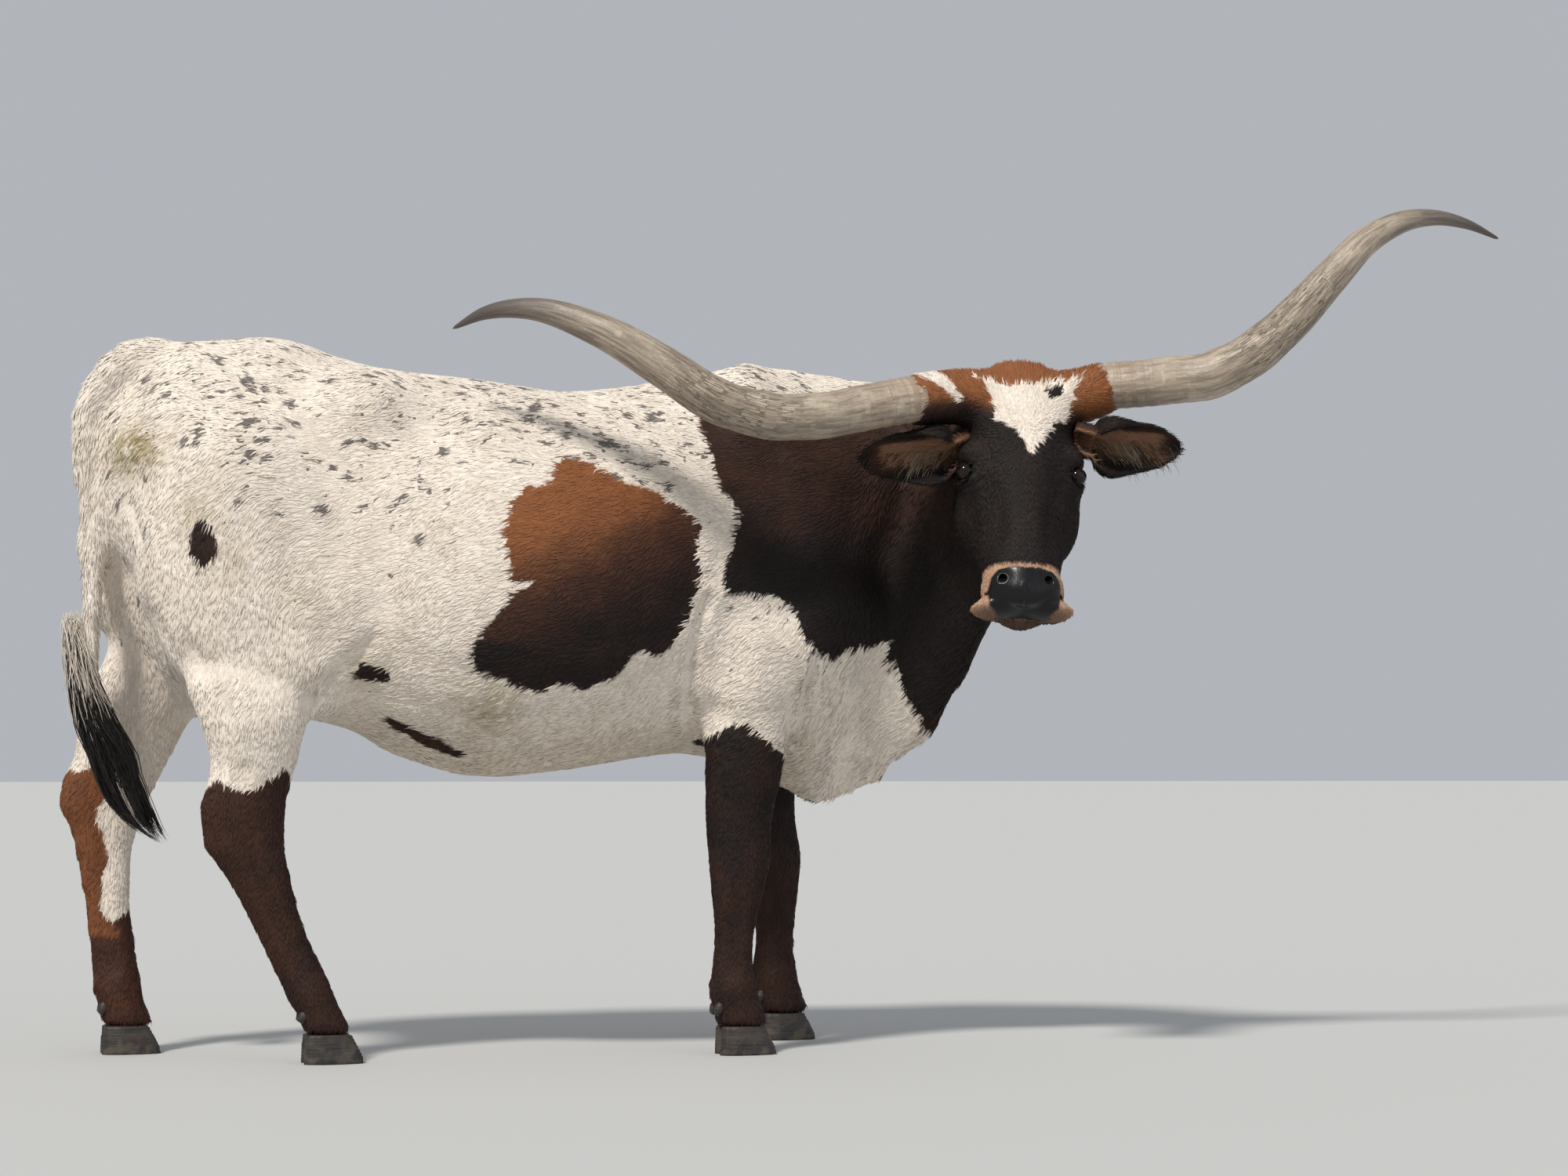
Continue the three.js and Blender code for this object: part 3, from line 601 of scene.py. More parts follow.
# how far inside an outline each place lies, below zero outside it
def outlineDistance(x, z, outline):
    corners = np.array(outline, float)
    inside = np.zeros(len(x), dtype=bool)
    best = np.full(len(x), 1e9)
    for (ax, az), (bx, bz) in zip(corners, np.roll(corners, -1, axis=0)):
        wayX, wayZ = bx - ax, bz - az
        t = np.clip(((x - ax) * wayX + (z - az) * wayZ) / max(wayX**2 + wayZ**2, 1e-9), 0, 1)
        best = np.minimum(best, np.hypot(x - ax - t * wayX, z - az - t * wayZ))
        crosses = ((az > z) != (bz > z)) & (x < (bx - ax) * (z - az) / (bz - az + 1e-12) + ax)
        inside ^= crosses
    return np.where(inside, best, -best)


# outlines seen square on from the animal's right (x, height) in metres
ribPatch = [
    (-0.52, 1.25), (-0.55, 1.19), (-0.60, 1.185), (-0.625, 1.15), (-0.65, 1.09), (-0.635, 1.01),
    (-0.63, 0.98), (-0.58, 0.985), (-0.62, 0.965), (-0.66, 0.92), (-0.715, 0.84), (-0.70, 0.80),
    (-0.64, 0.785), (-0.56, 0.755), (-0.53, 0.78), (-0.46, 0.765), (-0.41, 0.79), (-0.35, 0.85),
    (-0.30, 0.84), (-0.26, 0.89), (-0.22, 0.98), (-0.22, 1.12), (-0.27, 1.16), (-0.38, 1.20), (-0.47, 1.245),
]
neckPatch = [
    (-0.20, 1.345), (-0.19, 1.30), (-0.17, 1.20), (-0.125, 1.14), (-0.135, 1.09), (-0.165, 1.01),
    (-0.165, 0.975), (-0.10, 0.97), (-0.05, 0.97), (-0.015, 0.95), (0.02, 0.88), (0.04, 0.85), (0.09, 0.83),
    (0.115, 0.86), (0.18, 0.865), (0.235, 0.88), (0.23, 0.79), (0.265, 0.75), (0.30, 0.75), (0.32, 0.69),
    (0.5, 0.6), (0.9, 0.8), (0.9, 1.7), (0.42, 1.7), (0.33, 1.50), (0.27, 1.43), (0.12, 1.395),
    (-0.05, 1.385), (-0.15, 1.37),
]
farRibPatch = [
    (-0.86, 1.22), (-0.80, 1.30), (-0.68, 1.27), (-0.60, 1.31), (-0.52, 1.24), (-0.50, 1.13), (-0.56, 1.05),
    (-0.54, 0.93), (-0.63, 0.86), (-0.70, 0.90), (-0.78, 0.88), (-0.84, 0.97), (-0.92, 1.02), (-0.90, 1.12),
]
farNeckPatch = [
    (-0.14, 1.34), (-0.20, 1.24), (-0.16, 1.12), (-0.20, 1.02), (-0.14, 0.92), (-0.05, 0.95), (0.02, 0.86),
    (0.10, 0.90), (0.17, 0.80), (0.24, 0.84), (0.28, 0.74), (0.32, 0.69), (0.5, 0.6), (0.9, 0.8), (0.9, 1.7),
    (0.42, 1.7), (0.33, 1.50), (0.25, 1.44), (0.10, 1.40), (-0.10, 1.37),
]
# the face seen square on (side, down) in mm: the white blaze, the spot in it and the white by the right horn
blaze = [
    (-106, 40), (-48, 56), (20, 46), (66, 40), (122, 26), (106, 60), (98, 92), (92, 120), (64, 132),
    (44, 168), (10, 220), (0, 182), (-18, 160), (-58, 130), (-62, 96), (-78, 62),
]
blazeSpot = [(46, 64), (70, 52), (90, 58), (78, 74), (54, 80)]
hornWhite = [(-250, 10), (-196, 14), (-178, 48), (-134, 92), (-142, 104), (-186, 82), (-216, 66)]

skinPoints = pointsOf(skin)
skinNormals = normalsOf(skin)
skinEdges = edgesOf(skin)
weights = partWeights(skin, 5)
isEar = np.zeros(len(skinPoints))
isEar[skinCount:] = 1
for name in weights:
    weights[name] = weights[name] * (1 - isEar)
x, y, z = skinPoints.T
where = toHead(skinPoints)
middle = midLine + np.clip((x - 0.05) * -0.9, -0.42, 0)  # the neck turns to the right
rightSide = y < middle

dark = np.where(rightSide, outlineDistance(x, z, ribPatch), outlineDistance(x, z, farRibPatch))
neckDark = np.where(rightSide, outlineDistance(x, z, neckPatch), outlineDistance(x, z, farNeckPatch))
dark = np.maximum(dark, neckDark)
thighSpot = {"x": -1.25, "z": 1.06, "wide": 0.026, "high": 0.045}
oval = 1 - np.hypot((x - thighSpot["x"]) / thighSpot["wide"], (z - thighSpot["z"]) / thighSpot["high"])
dark = np.maximum(dark, np.where(rightSide, oval * 0.03, -1))
strokes = [
    ([(-0.84, -0.01, 0.69), (-0.78, -0.01, 0.66), (-0.71, 0, 0.63)], 0.020),
    ([(-0.915, -0.08, 0.80), (-0.90, -0.08, 0.795), (-0.875, -0.08, 0.785)], 0.019),
]
for line, reach in strokes:
    dark = np.maximum(dark, np.where(rightSide, reach - lineDistance(skinPoints, line), -1))

# legs are dark below jagged lines
foreEdge = 0.665 + 0.035 * np.cos((x + 0.13) * 26) - 0.02 * (y > middle)
foreAway = np.minimum(np.hypot(x + 0.12, y + 0.045), np.hypot(x - 0.035, y - 0.325))
foreLeg = foreAway < 0.110
dark = np.maximum(dark, np.where(foreLeg & (z < 0.78), foreEdge - z, -1))
hindEdge = 0.565 + 0.03 * np.cos((x + 1.05) * 30) + 0.02 * np.sin(y * 60)
hindLeg = (x < -0.7) & (weights["limb"] + weights["cannon"] + weights["thigh"] > 0.5)
nearHind = hindLeg & rightSide
dark = np.maximum(dark, np.where(nearHind & (z < 0.75), hindEdge - z, -1))
alongLeg = np.zeros(len(x))
alongLeg[:skinCount] = legOffset[:, 0]
rearOfLeg = -0.006 + 0.012 * np.sin(z * 34) - alongLeg
farHind = hindLeg & ~rightSide
farDark = np.maximum(np.minimum(rearOfLeg, 0.60 - z), 0.285 + 0.02 * np.sin(x * 50) - z)
outsideOfLeg = np.minimum(y - 0.40, 0.56 - z)
dark = np.maximum(dark, np.where(farHind & (z < 0.75), np.maximum(farDark, outsideOfLeg), -1))

# head: dark all over but the blaze, the white by the right horn, and brown hair round the poll and horns
onHead = weights["head"] > 0.4
foreheadFace = (where[:, 1] > -70) & (where[:, 2] < 260)
blazeIn = outlineDistance(where[:, 0], where[:, 2], blaze) / 1000
spotIn = outlineDistance(where[:, 0], where[:, 2], blazeSpot) / 1000
hornIn = outlineDistance(where[:, 0], where[:, 2], hornWhite) / 1000
white = np.maximum(np.minimum(blazeIn, -spotIn), hornIn)
dark = np.where(onHead, np.where(foreheadFace, -white, 0.1), dark)
dark = np.where(isEar > 0.5, 0.1, dark)
dark = np.where(weights["tail"] > 0.5, -0.1, dark)
dark = np.clip(dark, -0.12, 0.12)

# warm: how orange-brown the dark hair is
warm = np.full(len(x), 0.10)
ribWarm = smoothStep(-0.12, 0.30, (z - 0.95) - 0.45 * (x + 0.45)) * 0.95 + 0.08
warm = np.where((x < -0.2) & (z > 0.7), ribWarm, warm)
# painted sheen and shade: the dark neck hair turns brown towards the top and stays black lower down
neckSheenWarmth = 0.25 * smoothStep(0.95, 1.25, z)
warm = np.where((x > -0.2) & (z > 0.7) & ~onHead, neckSheenWarmth, warm)
legWarm = 0.24 + 0.20 * smoothStep(-1.0, -1.4, x)
warm = np.where(np.hypot(x + 1.25, z - 1.06) < 0.08, 0.12, warm)
warm = np.where((x > -0.98) & (x < -0.60) & (z < 0.86), 0.05, warm)
warm = np.where(z < 0.72, np.where(x < -0.7, legWarm, 0.10 + 0.1 * smoothStep(0.5, 0.3, z)), warm)
rearWarm = np.where(farHind & (rearOfLeg > -0.01) & (z > 0.25), 0.75, 0)
warm = np.maximum(warm, rearWarm)
wideOf = np.abs(where[:, 0])
crown = smoothStep(136, 92, where[:, 2] + 0.10 * wideOf - 0.45 * np.maximum(wideOf - 120, 0)) * onHead
crown = crown * smoothStep(20, 29, np.hypot(where[:, 0] - 70, where[:, 2] - 66))
warm = np.where(onHead, 0.03 + 0.95 * crown, warm)
# the ears: black outside and at the rim, orange-brown inside
for side, sign in (("right", -1), ("left", 1)):
    root, tip, way, facing = earFrame(side)
    off = skinPoints - root
    t = off @ way / np.linalg.norm(tip - root)
    lateral = np.abs(off @ np.cross(facing, way)) / earMake["halfWidth"]
    inner = smoothStep(0.80, 0.45, lateral) * smoothStep(0.95, 0.70, t)
    inner = inner * smoothStep(0.0, 0.5, skinNormals @ facing)
    warm = np.where((isEar > 0.5) & (sign * where[:, 0] > 0), 0.04 + 0.62 * inner, warm)

# flecks: grey spots, thick along the back and few on the belly and legs
fleck = 0.44 + 0.50 * smoothStep(1.16, 1.40, z) - 0.26 * smoothStep(0.95, 0.70, z)
clusters = [
    (-1.27, 1.39, 0.08), (-1.12, 1.42, 0.10), (-0.82, 1.23, 0.07), (-0.97, 1.15, 0.06), (-0.30, 1.28, 0.12),
    (-0.45, 1.32, 0.14), (-1.14, 1.20, 0.10), (-0.87, 1.12, 0.08), (-0.03, 0.86, 0.09),
]
for cx, cz, size in clusters:
    fleck = fleck + 0.40 * bell(np.hypot(x - cx, z - cz), 0, size)
fleck = np.where(weights["tail"] > 0.4, 0.12, fleck)
fleck = np.where(onHead, 0.02, fleck)
fleck = np.clip(fleck, 0, 1)

# tan ring round the nose, darkened on the chin and under the lower lip as painted shade; bare wet skin;
# stains, and painted shade on the belly's underside
padHalf = [(0, 481), (30, 478), (56, 483), (70, 500), (76, 524), (72, 556), (44, 572), (0, 575)]
padIn = outlineDistance(where[:, 0], where[:, 2], padHalf + [(-s, d) for s, d in padHalf[::-1]])
onPad = onHead & (where[:, 1] > -62)
bare = np.where(onPad, smoothStep(-3, 3, padIn), 0)
ring = where[:, 2] - 459 - 12 * np.cos(where[:, 0] / 60)
tan = np.where(onHead, smoothStep(-4, 6, ring) * smoothStep(-128, -100, where[:, 1]), 0)
# painted shade: the tan is darkened on the chin and under the lower lip
chin = smoothStep(-62, -80, where[:, 1]) * smoothStep(470, 500, where[:, 2])
tan = tan * (1 - 0.62 * chin) * (1 - 0.62 * smoothStep(548, 566, where[:, 2]))
tan = np.maximum(tan, isEar * smoothStep(0.45, 0.66, warm) * 0.35)

# x, height, size, strength
stainSpots = [
    (-1.38, 1.26, 0.055, 1.0), (-1.25, 1.12, 0.05, 0.5), (-1.21, 1.02, 0.05, 0.45),
    (-0.66, 0.72, 0.07, 0.7), (-0.91, 0.80, 0.04, 0.6), (-1.05, 0.95, 0.06, 0.25),
]
# stains at the spots above, plus painted shade on the belly's underside
stainAndShade = np.zeros(len(x))
for sx, sz, size, amount in stainSpots:
    stainAndShade = np.maximum(stainAndShade, amount * bell(np.hypot(x - sx, z - sz), 0, size) * rightSide)
# painted shade: olive on the low belly where the skin faces down
belly = smoothStep(0.78, 0.60, z) * smoothStep(0.2, -0.5, skinNormals[:, 2]) * (weights["trunk"] > 0.4)
stainAndShade = np.maximum(stainAndShade, 0.35 * belly)
print("markings placed")


def setAttribute(thing, name, kind, values):
    layer = thing.data.attributes.new(name, kind, "POINT")
    key = "value" if kind == "FLOAT" else "vector"
    layer.data.foreach_set(key, np.ascontiguousarray(values, dtype=np.float32).ravel())


# the lie of the coat: which way the hair points on each part
whorl = (0, 150)  # the hair of the face parts here
fromWhorl = unit(np.stack([where[:, 0] - whorl[0], where[:, 2] - whorl[1]], 1))
headLie = fromWhorl[:, :1] * sideWay + fromWhorl[:, 1:] * downWay
headLie = headLie - outWay * smoothStep(60, 110, np.abs(where[:, 0]))[:, None] * 0.8
none = np.zeros(len(x))
limbLie = np.tile(unit([-0.12, 0, -1.0]), (len(x), 1))
trunkLie = np.stack([none - 1, none, -0.10 - 0.45 * smoothStep(1.35, 0.9, z)], 1)
neckLie = np.tile([-0.55, 0.25, -0.62], (len(x), 1))
thighLie = np.stack([-0.55 + 0.3 * smoothStep(1.3, 0.8, z), none, -0.25 - 0.9 * smoothStep(1.4, 1.0, z)], 1)
tailLie = np.stack([-smoothStep(1.36, 1.44, z), none, -1 + 0.9 * smoothStep(1.40, 1.48, z)], 1)
lie = weights["head"][:, None] * headLie + weights["neck"][:, None] * neckLie
lie = lie + (weights["limb"] + weights["cannon"])[:, None] * limbLie + weights["trunk"][:, None] * trunkLie
lie = lie + weights["thigh"][:, None] * thighLie + weights["tail"][:, None] * tailLie
lie = spread(lie, skinEdges, 10)
earLie = np.where(where[:, :1] > 0, earFrame("left")[2], earFrame("right")[2])
lie = np.where(isEar[:, None] > 0.5, earLie, lie)
# locks that sway to either side
sway = 0.32 * np.sin(x * 17 + 2 * np.sin(z * 13)) * np.sin(z * 19 + 1.5 * np.sin(x * 11))
sway = (sway + 0.18 * np.sin(x * 41 + z * 37)) * (1 - 0.6 * weights["head"])
lie = lie + np.cross(skinNormals, lie) * sway[:, None]
lie = unit(lie - skinNormals * (lie * skinNormals).sum(1)[:, None])

# the skin is drawn in by the coat's depth
depthOf = {"trunk": 0.0032, "thigh": 0.0032, "neck": 0.0032, "limb": 0.0022, "tail": 0.0022, "cannon": 0.0015}
coatDepth = sum(weights[name] * depth for name, depth in depthOf.items())
coatDepth = coatDepth + 0.0012 * weights["head"] * (1 - bare)
skinPoints = skinPoints - skinNormals * coatDepth[:, None]
setPoints(skin, skinPoints)

markA = np.stack([dark, warm, fleck], 1)
markB = np.stack([tan, bare, stainAndShade], 1)
setAttribute(skin, "place", "FLOAT_VECTOR", skinPoints)
setAttribute(skin, "markA", "FLOAT_VECTOR", markA)
setAttribute(skin, "markB", "FLOAT_VECTOR", markB)
# where the hair runs downward rather than backward
downShare = {"limb": 1, "cannon": 1, "tail": 1, "head": 1, "neck": 0.7, "thigh": 0.6}
downward = np.clip(sum(weights[name] * much for name, much in downShare.items()), 0, 1)
setAttribute(skin, "downward", "FLOAT", downward)

onlySelect(skin)
bpy.ops.object.mode_set(mode="EDIT")
bpy.ops.mesh.select_all(action="SELECT")
bpy.ops.mesh.quads_convert_to_tris()
bpy.ops.uv.smart_project(angle_limit=math.radians(66), island_margin=0.001)
bpy.ops.mesh.select_all(action="DESELECT")
bpy.ops.object.mode_set(mode="OBJECT")
skin.data.uv_layers[0].name = "OFBake"
smoothFaces(skin)
print("skin unwrapped", len(skin.data.polygons))


def newGroup(name, inputs, outputs):
    group = bpy.data.node_groups.new(name, "ShaderNodeTree")
    for label, kind in inputs:
        group.interface.new_socket(name=label, in_out="INPUT", socket_type=kind)
    for label, kind in outputs:
        group.interface.new_socket(name=label, in_out="OUTPUT", socket_type=kind)
    return group, group.nodes.new("NodeGroupInput"), group.nodes.new("NodeGroupOutput")


# values are set on the node's inputs, links are joined to them, settings go on the node itself
def addNode(tree, kind, values=None, links=None, **settings):
    node = tree.nodes.new(kind)
    for key, value in settings.items():
        setattr(node, key, value)
    for key, value in (values or {}).items():
        node.inputs[key].default_value = value
    for key, source in (links or {}).items():
        tree.links.new(source, node.inputs[key])
    return node


def mathNode(tree, operation, a, b):
    node = tree.nodes.new("ShaderNodeMath")
    node.operation = operation
    for k, value in enumerate((a, b)):
        if isinstance(value, (int, float)):
            node.inputs[k].default_value = value
        else:
            tree.links.new(value, node.inputs[k])
    return node.outputs[0]


def mixNode(tree, share, a, b):
    node = tree.nodes.new("ShaderNodeMix")
    node.data_type = "RGBA"
    for socket, value in ((node.inputs[0], share), (node.inputs[6], a), (node.inputs[7], b)):
        if isinstance(value, (int, float)):
            socket.default_value = value
        elif isinstance(value, tuple):
            socket.default_value = (*value, 1)
        else:
            tree.links.new(value, socket)
    return node.outputs[2]


def rangeNode(tree, value, low, high, outLow=0.0, outHigh=1.0):
    node = tree.nodes.new("ShaderNodeMapRange")
    node.interpolation_type = "SMOOTHSTEP"
    tree.links.new(value, node.inputs["Value"])
    for key, number in (("From Min", low), ("From Max", high), ("To Min", outLow), ("To Max", outHigh)):
        node.inputs[key].default_value = number
    return node.outputs[0]


def attributeNode(tree, name):
    return addNode(tree, "ShaderNodeAttribute", attribute_name=name)


def noiseNode(tree, place, scale, detail, roughness=0.5):
    values = {"Scale": scale, "Detail": detail, "Roughness": roughness}
    return addNode(tree, "ShaderNodeTexNoise", values, {"Vector": place})


def stretchNode(tree, place, squeeze):
    node = addNode(tree, "ShaderNodeVectorMath", operation="MULTIPLY")
    tree.links.new(place, node.inputs[0])
    node.inputs[1].default_value = squeeze
    return node.outputs[0]


def scaleNode(tree, colour, amount):
    node = addNode(tree, "ShaderNodeVectorMath", operation="SCALE")
    tree.links.new(colour, node.inputs[0])
    tree.links.new(amount, node.inputs["Scale"])
    return node.outputs[0]


def bumpFrom(tree, shader, height, strength, distance):
    bump = addNode(tree, "ShaderNodeBump", {"Strength": strength, "Distance": distance}, {"Height": height})
    tree.links.new(bump.outputs[0], shader.inputs["Normal"])


hideTone = {
    "white": (0.80, 0.715, 0.62),
    "whiteShade": (0.60, 0.50, 0.41),
    "black": (0.012, 0.0085, 0.0075),
    "brown": (0.052, 0.022, 0.014),
    "orange": (0.25, 0.092, 0.034),
    "fleck": (0.105, 0.09, 0.085),
    "tan": (0.44, 0.265, 0.175),
    "olive": (0.30, 0.23, 0.085),
    "pad": (0.005, 0.005, 0.0055),
}

# the hair's colour from the markings kept on the mesh; skin and tufts share it
hide, hideIn, hideOut = newGroup(
    "hideColour",
    [("Place", "NodeSocketVector"), ("MarkA", "NodeSocketVector"), ("MarkB", "NodeSocketVector")],
    [("Colour", "NodeSocketColor"), ("Bare", "NodeSocketFloat")],
)
splitA = addNode(hide, "ShaderNodeSeparateXYZ", links={0: hideIn.outputs["MarkA"]})
splitB = addNode(hide, "ShaderNodeSeparateXYZ", links={0: hideIn.outputs["MarkB"]})
jag = noiseNode(hide, hideIn.outputs["Place"], 55, 4, 0.65)
wide = noiseNode(hide, hideIn.outputs["Place"], 16, 2)
jagOff = mathNode(hide, "SUBTRACT", jag.outputs[0], 0.5)
wideOff = mathNode(hide, "SUBTRACT", wide.outputs[0], 0.5)
edge = mathNode(hide, "MULTIPLY", jagOff, 0.034)
edge = mathNode(hide, "ADD", edge, mathNode(hide, "MULTIPLY", wideOff, 0.022))
edge = mathNode(hide, "ADD", edge, splitA.outputs[0])
darkShare = rangeNode(hide, edge, -0.0025, 0.0035)
warmth = mathNode(hide, "ADD", splitA.outputs[1], mathNode(hide, "MULTIPLY", wideOff, 0.35))
darkTone = mixNode(hide, rangeNode(hide, warmth, 0.0, 0.42), hideTone["black"], hideTone["brown"])
darkTone = mixNode(hide, rangeNode(hide, warmth, 0.38, 1.0), darkTone, hideTone["orange"])
shadeShare = rangeNode(hide, wide.outputs[0], 0.35, 0.75, 0.0, 0.35)
whiteTone = mixNode(hide, shadeShare, hideTone["white"], hideTone["whiteShade"])
bentPlace = addNode(hide, "ShaderNodeVectorMath", operation="MULTIPLY_ADD")
hide.links.new(jag.outputs[1], bentPlace.inputs[0])
bentPlace.inputs[1].default_value = (0.022, 0.022, 0.016)
hide.links.new(hideIn.outputs["Place"], bentPlace.inputs[2])
# flecks of three sizes: cells for each metre, reach, and how many of the cells hold one
fleckMake = ((20, 0.30, 0.72), (36, 0.33, 0.78), (72, 0.36, 0.62))
fleckShare = None
for scale, size, gain in fleckMake:
    dots = addNode(hide, "ShaderNodeTexVoronoi", {"Scale": scale}, {"Vector": bentPlace.outputs[0]})
    chance = addNode(hide, "ShaderNodeSeparateColor", links={0: dots.outputs["Color"]})
    crowding = mathNode(hide, "MULTIPLY", splitA.outputs[2], gain)
    chosen = mathNode(hide, "SUBTRACT", crowding, chance.outputs[0])
    chosen = mathNode(hide, "MINIMUM", mathNode(hide, "MULTIPLY", chosen, 2.2), 1.0)
    reach = mathNode(hide, "MULTIPLY", chosen, size)
    share = rangeNode(hide, mathNode(hide, "SUBTRACT", reach, dots.outputs["Distance"]), -0.02, 0.05)
    fleckShare = share if fleckShare is None else mathNode(hide, "MAXIMUM", fleckShare, share)
fleckShare = mathNode(hide, "MULTIPLY", fleckShare, 0.9)
whiteTone = mixNode(hide, fleckShare, whiteTone, hideTone["fleck"])
# olive for the stains and for the belly's painted shade, broken up by noise
stainAndShadeShare = mathNode(hide, "MULTIPLY", splitB.outputs[2], rangeNode(hide, jag.outputs[0], 0.30, 0.62))
whiteTone = mixNode(hide, stainAndShadeShare, whiteTone, hideTone["olive"])
tone = mixNode(hide, darkShare, whiteTone, darkTone)
tone = mixNode(hide, splitB.outputs[0], tone, hideTone["tan"])
tone = mixNode(hide, splitB.outputs[1], tone, hideTone["pad"])
hide.links.new(tone, hideOut.inputs["Colour"])
hide.links.new(splitB.outputs[1], hideOut.inputs["Bare"])


def hideMaterial(name):
    paint, tree, shader = addPaint(name)
    colour = tree.nodes.new("ShaderNodeGroup")
    colour.node_tree = hide
    for socket, layer in (("Place", "place"), ("MarkA", "markA"), ("MarkB", "markB")):
        tree.links.new(attributeNode(tree, layer).outputs["Vector"], colour.inputs[socket])
    return paint, tree, shader, colour


skinPaint, tree, shader, colour = hideMaterial("shortHair")
# fine streaks along the hair, backward on the body and downward on the legs; pebbles on the bare nose
padMake = {"smoother": 0.32, "wet": 0.22, "pebbles": 240, "pebbleHeight": 0.10}
place = attributeNode(tree, "place").outputs["Vector"]
bareShare = colour.outputs["Bare"]
back, down = (noiseNode(tree, stretchNode(tree, place, squeeze), 2.2, 3).outputs[0]
              for squeeze in ((9, 130, 130), (120, 120, 9)))
streak = mixNode(tree, attributeNode(tree, "downward").outputs["Fac"], back, down)
shade = rangeNode(tree, streak, 0.25, 0.75, 0.72, 1.12)
tree.links.new(scaleNode(tree, colour.outputs["Colour"], shade), shader.inputs["Base Color"])
pebble = addNode(tree, "ShaderNodeTexVoronoi", {"Scale": padMake["pebbles"]}, {"Vector": place})
pebble = mathNode(tree, "MULTIPLY", pebble.outputs["Distance"], padMake["pebbleHeight"])
hairHeight = mathNode(tree, "MULTIPLY", streak, mathNode(tree, "SUBTRACT", 1.0, bareShare))
padHeight = mathNode(tree, "MULTIPLY", pebble, bareShare)
bumpFrom(tree, shader, mathNode(tree, "ADD", hairHeight, padHeight), 0.55, 0.004)
rough = mathNode(tree, "SUBTRACT", 0.66, mathNode(tree, "MULTIPLY", bareShare, padMake["smoother"]))
tree.links.new(rough, shader.inputs["Roughness"])
shader.inputs["Specular IOR Level"].default_value = 0.16
tree.links.new(mathNode(tree, "MULTIPLY", bareShare, padMake["wet"]), shader.inputs["Coat Weight"])
shader.inputs["Coat Roughness"].default_value = 0.20
skin.data.materials.clear()
skin.data.materials.append(skinPaint)
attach(skin, "root")
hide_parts(*[name for names in skinParts.values() for name in names], "ear_right", "ear_left")

# the coat: tufts over the whole skin
coatPaint, tree, shader, colour = hideMaterial("hairTufts")
tuftTone = scaleNode(tree, colour.outputs["Colour"], attributeNode(tree, "shade").outputs["Fac"])
tree.links.new(tuftTone, shader.inputs["Base Color"])
shader.inputs["Roughness"].default_value = 0.6
shader.inputs["Specular IOR Level"].default_value = 0.2

triangles = np.empty(len(skin.data.polygons) * 3, dtype=np.int32)
skin.data.loops.foreach_get("vertex_index", triangles)
triangles = triangles.reshape(-1, 3)
unwrap = np.empty(len(triangles) * 6)
skin.data.uv_layers["OFBake"].data.foreach_get("uv", unwrap)
unwrap = unwrap.reshape(-1, 3, 2)
skinNormals = normalsOf(skin)
cornerA, cornerB, cornerC = (skinPoints[triangles[:, k]] for k in range(3))
area = np.linalg.norm(np.cross(cornerB - cornerA, cornerC - cornerA), axis=1) / 2
print("skin area", round(float(area.sum()), 2))

# length, width, lift and number for each square metre
tuftMake = {
    "trunk": (0.021, 0.0029, 0.060, 20500),
    "thigh": (0.021, 0.0029, 0.065, 20500),
    "neck": (0.023, 0.0030, 0.080, 20000),
    "head": (0.012, 0.0021, 0.11, 40000),
    "limb": (0.015, 0.0024, 0.085, 24000),
    "cannon": (0.013, 0.0021, 0.10, 30000),
    "tail": (0.028, 0.0026, 0.11, 22000),
    "ear": (0.015, 0.0016, 0.18, 30000),
}
weights["ear"] = isEar
mostTufts = 19000
dice = np.random.default_rng(11)


def blended(column):
    total = sum(weights[name] * tuftMake[name][column] for name in tuftMake)
    return total / np.maximum(sum(weights[name] for name in tuftMake), 0.01)


tuftLength, tuftWidth, tuftLift, tuftCount = (blended(k) for k in range(4))
tuftCount = tuftCount * (1 - bare)
tuftLength = tuftLength * (1 - 0.45 * smoothStep(420, 500, where[:, 2]) * onHead)
tuftLength = tuftLength * (1 + 0.6 * smoothStep(90, 20, where[:, 2]) * onHead)


# one mesh from points and triangles, with OFBake places for each corner
def meshFrom(name, points, faces, uv, paint):
    mesh = bpy.data.meshes.new(name)
    points = points.reshape(-1, 3)
    mesh.vertices.add(len(points))
    mesh.vertices.foreach_set("co", points.astype(np.float32).ravel())
    mesh.loops.add(len(faces) * 3)
    mesh.loops.foreach_set("vertex_index", faces.astype(np.int32).ravel())
    mesh.polygons.add(len(faces))
    mesh.polygons.foreach_set("loop_start", np.arange(len(faces), dtype=np.int32) * 3)
    mesh.polygons.foreach_set("use_smooth", np.ones(len(faces), dtype=bool))
    mesh.update(calc_edges=True)
    mesh.uv_layers.new(name="OFBake").data.foreach_set("uv", uv.astype(np.float32).ravel())
    mesh.materials.append(paint)
    made = bpy.data.objects.new(name, mesh)
    bpy.context.collection.objects.link(made)
    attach(made, "root")
    return made


# each tuft is a closed spike of 7 points and 10 triangles; its shading leans towards the skin's own
tuftFaces = np.array([
    [0, 1, 4], [0, 4, 3], [1, 2, 5], [1, 5, 4], [2, 0, 3], [2, 3, 5], [3, 4, 6], [4, 5, 6], [5, 3, 6],
    [0, 2, 1],
])
patchHalf = 0.0015  # half a tuft's patch on the unwrap
tuftPatch = np.array([[-1, -1], [1, -1], [0, -0.4], [-1, 0.2], [1, 0.2], [0, 0.4], [0, 1]]) * patchHalf
ownShading = 0.38  # the rest of a tuft's normals is the skin's
rootDepth = 0.0009


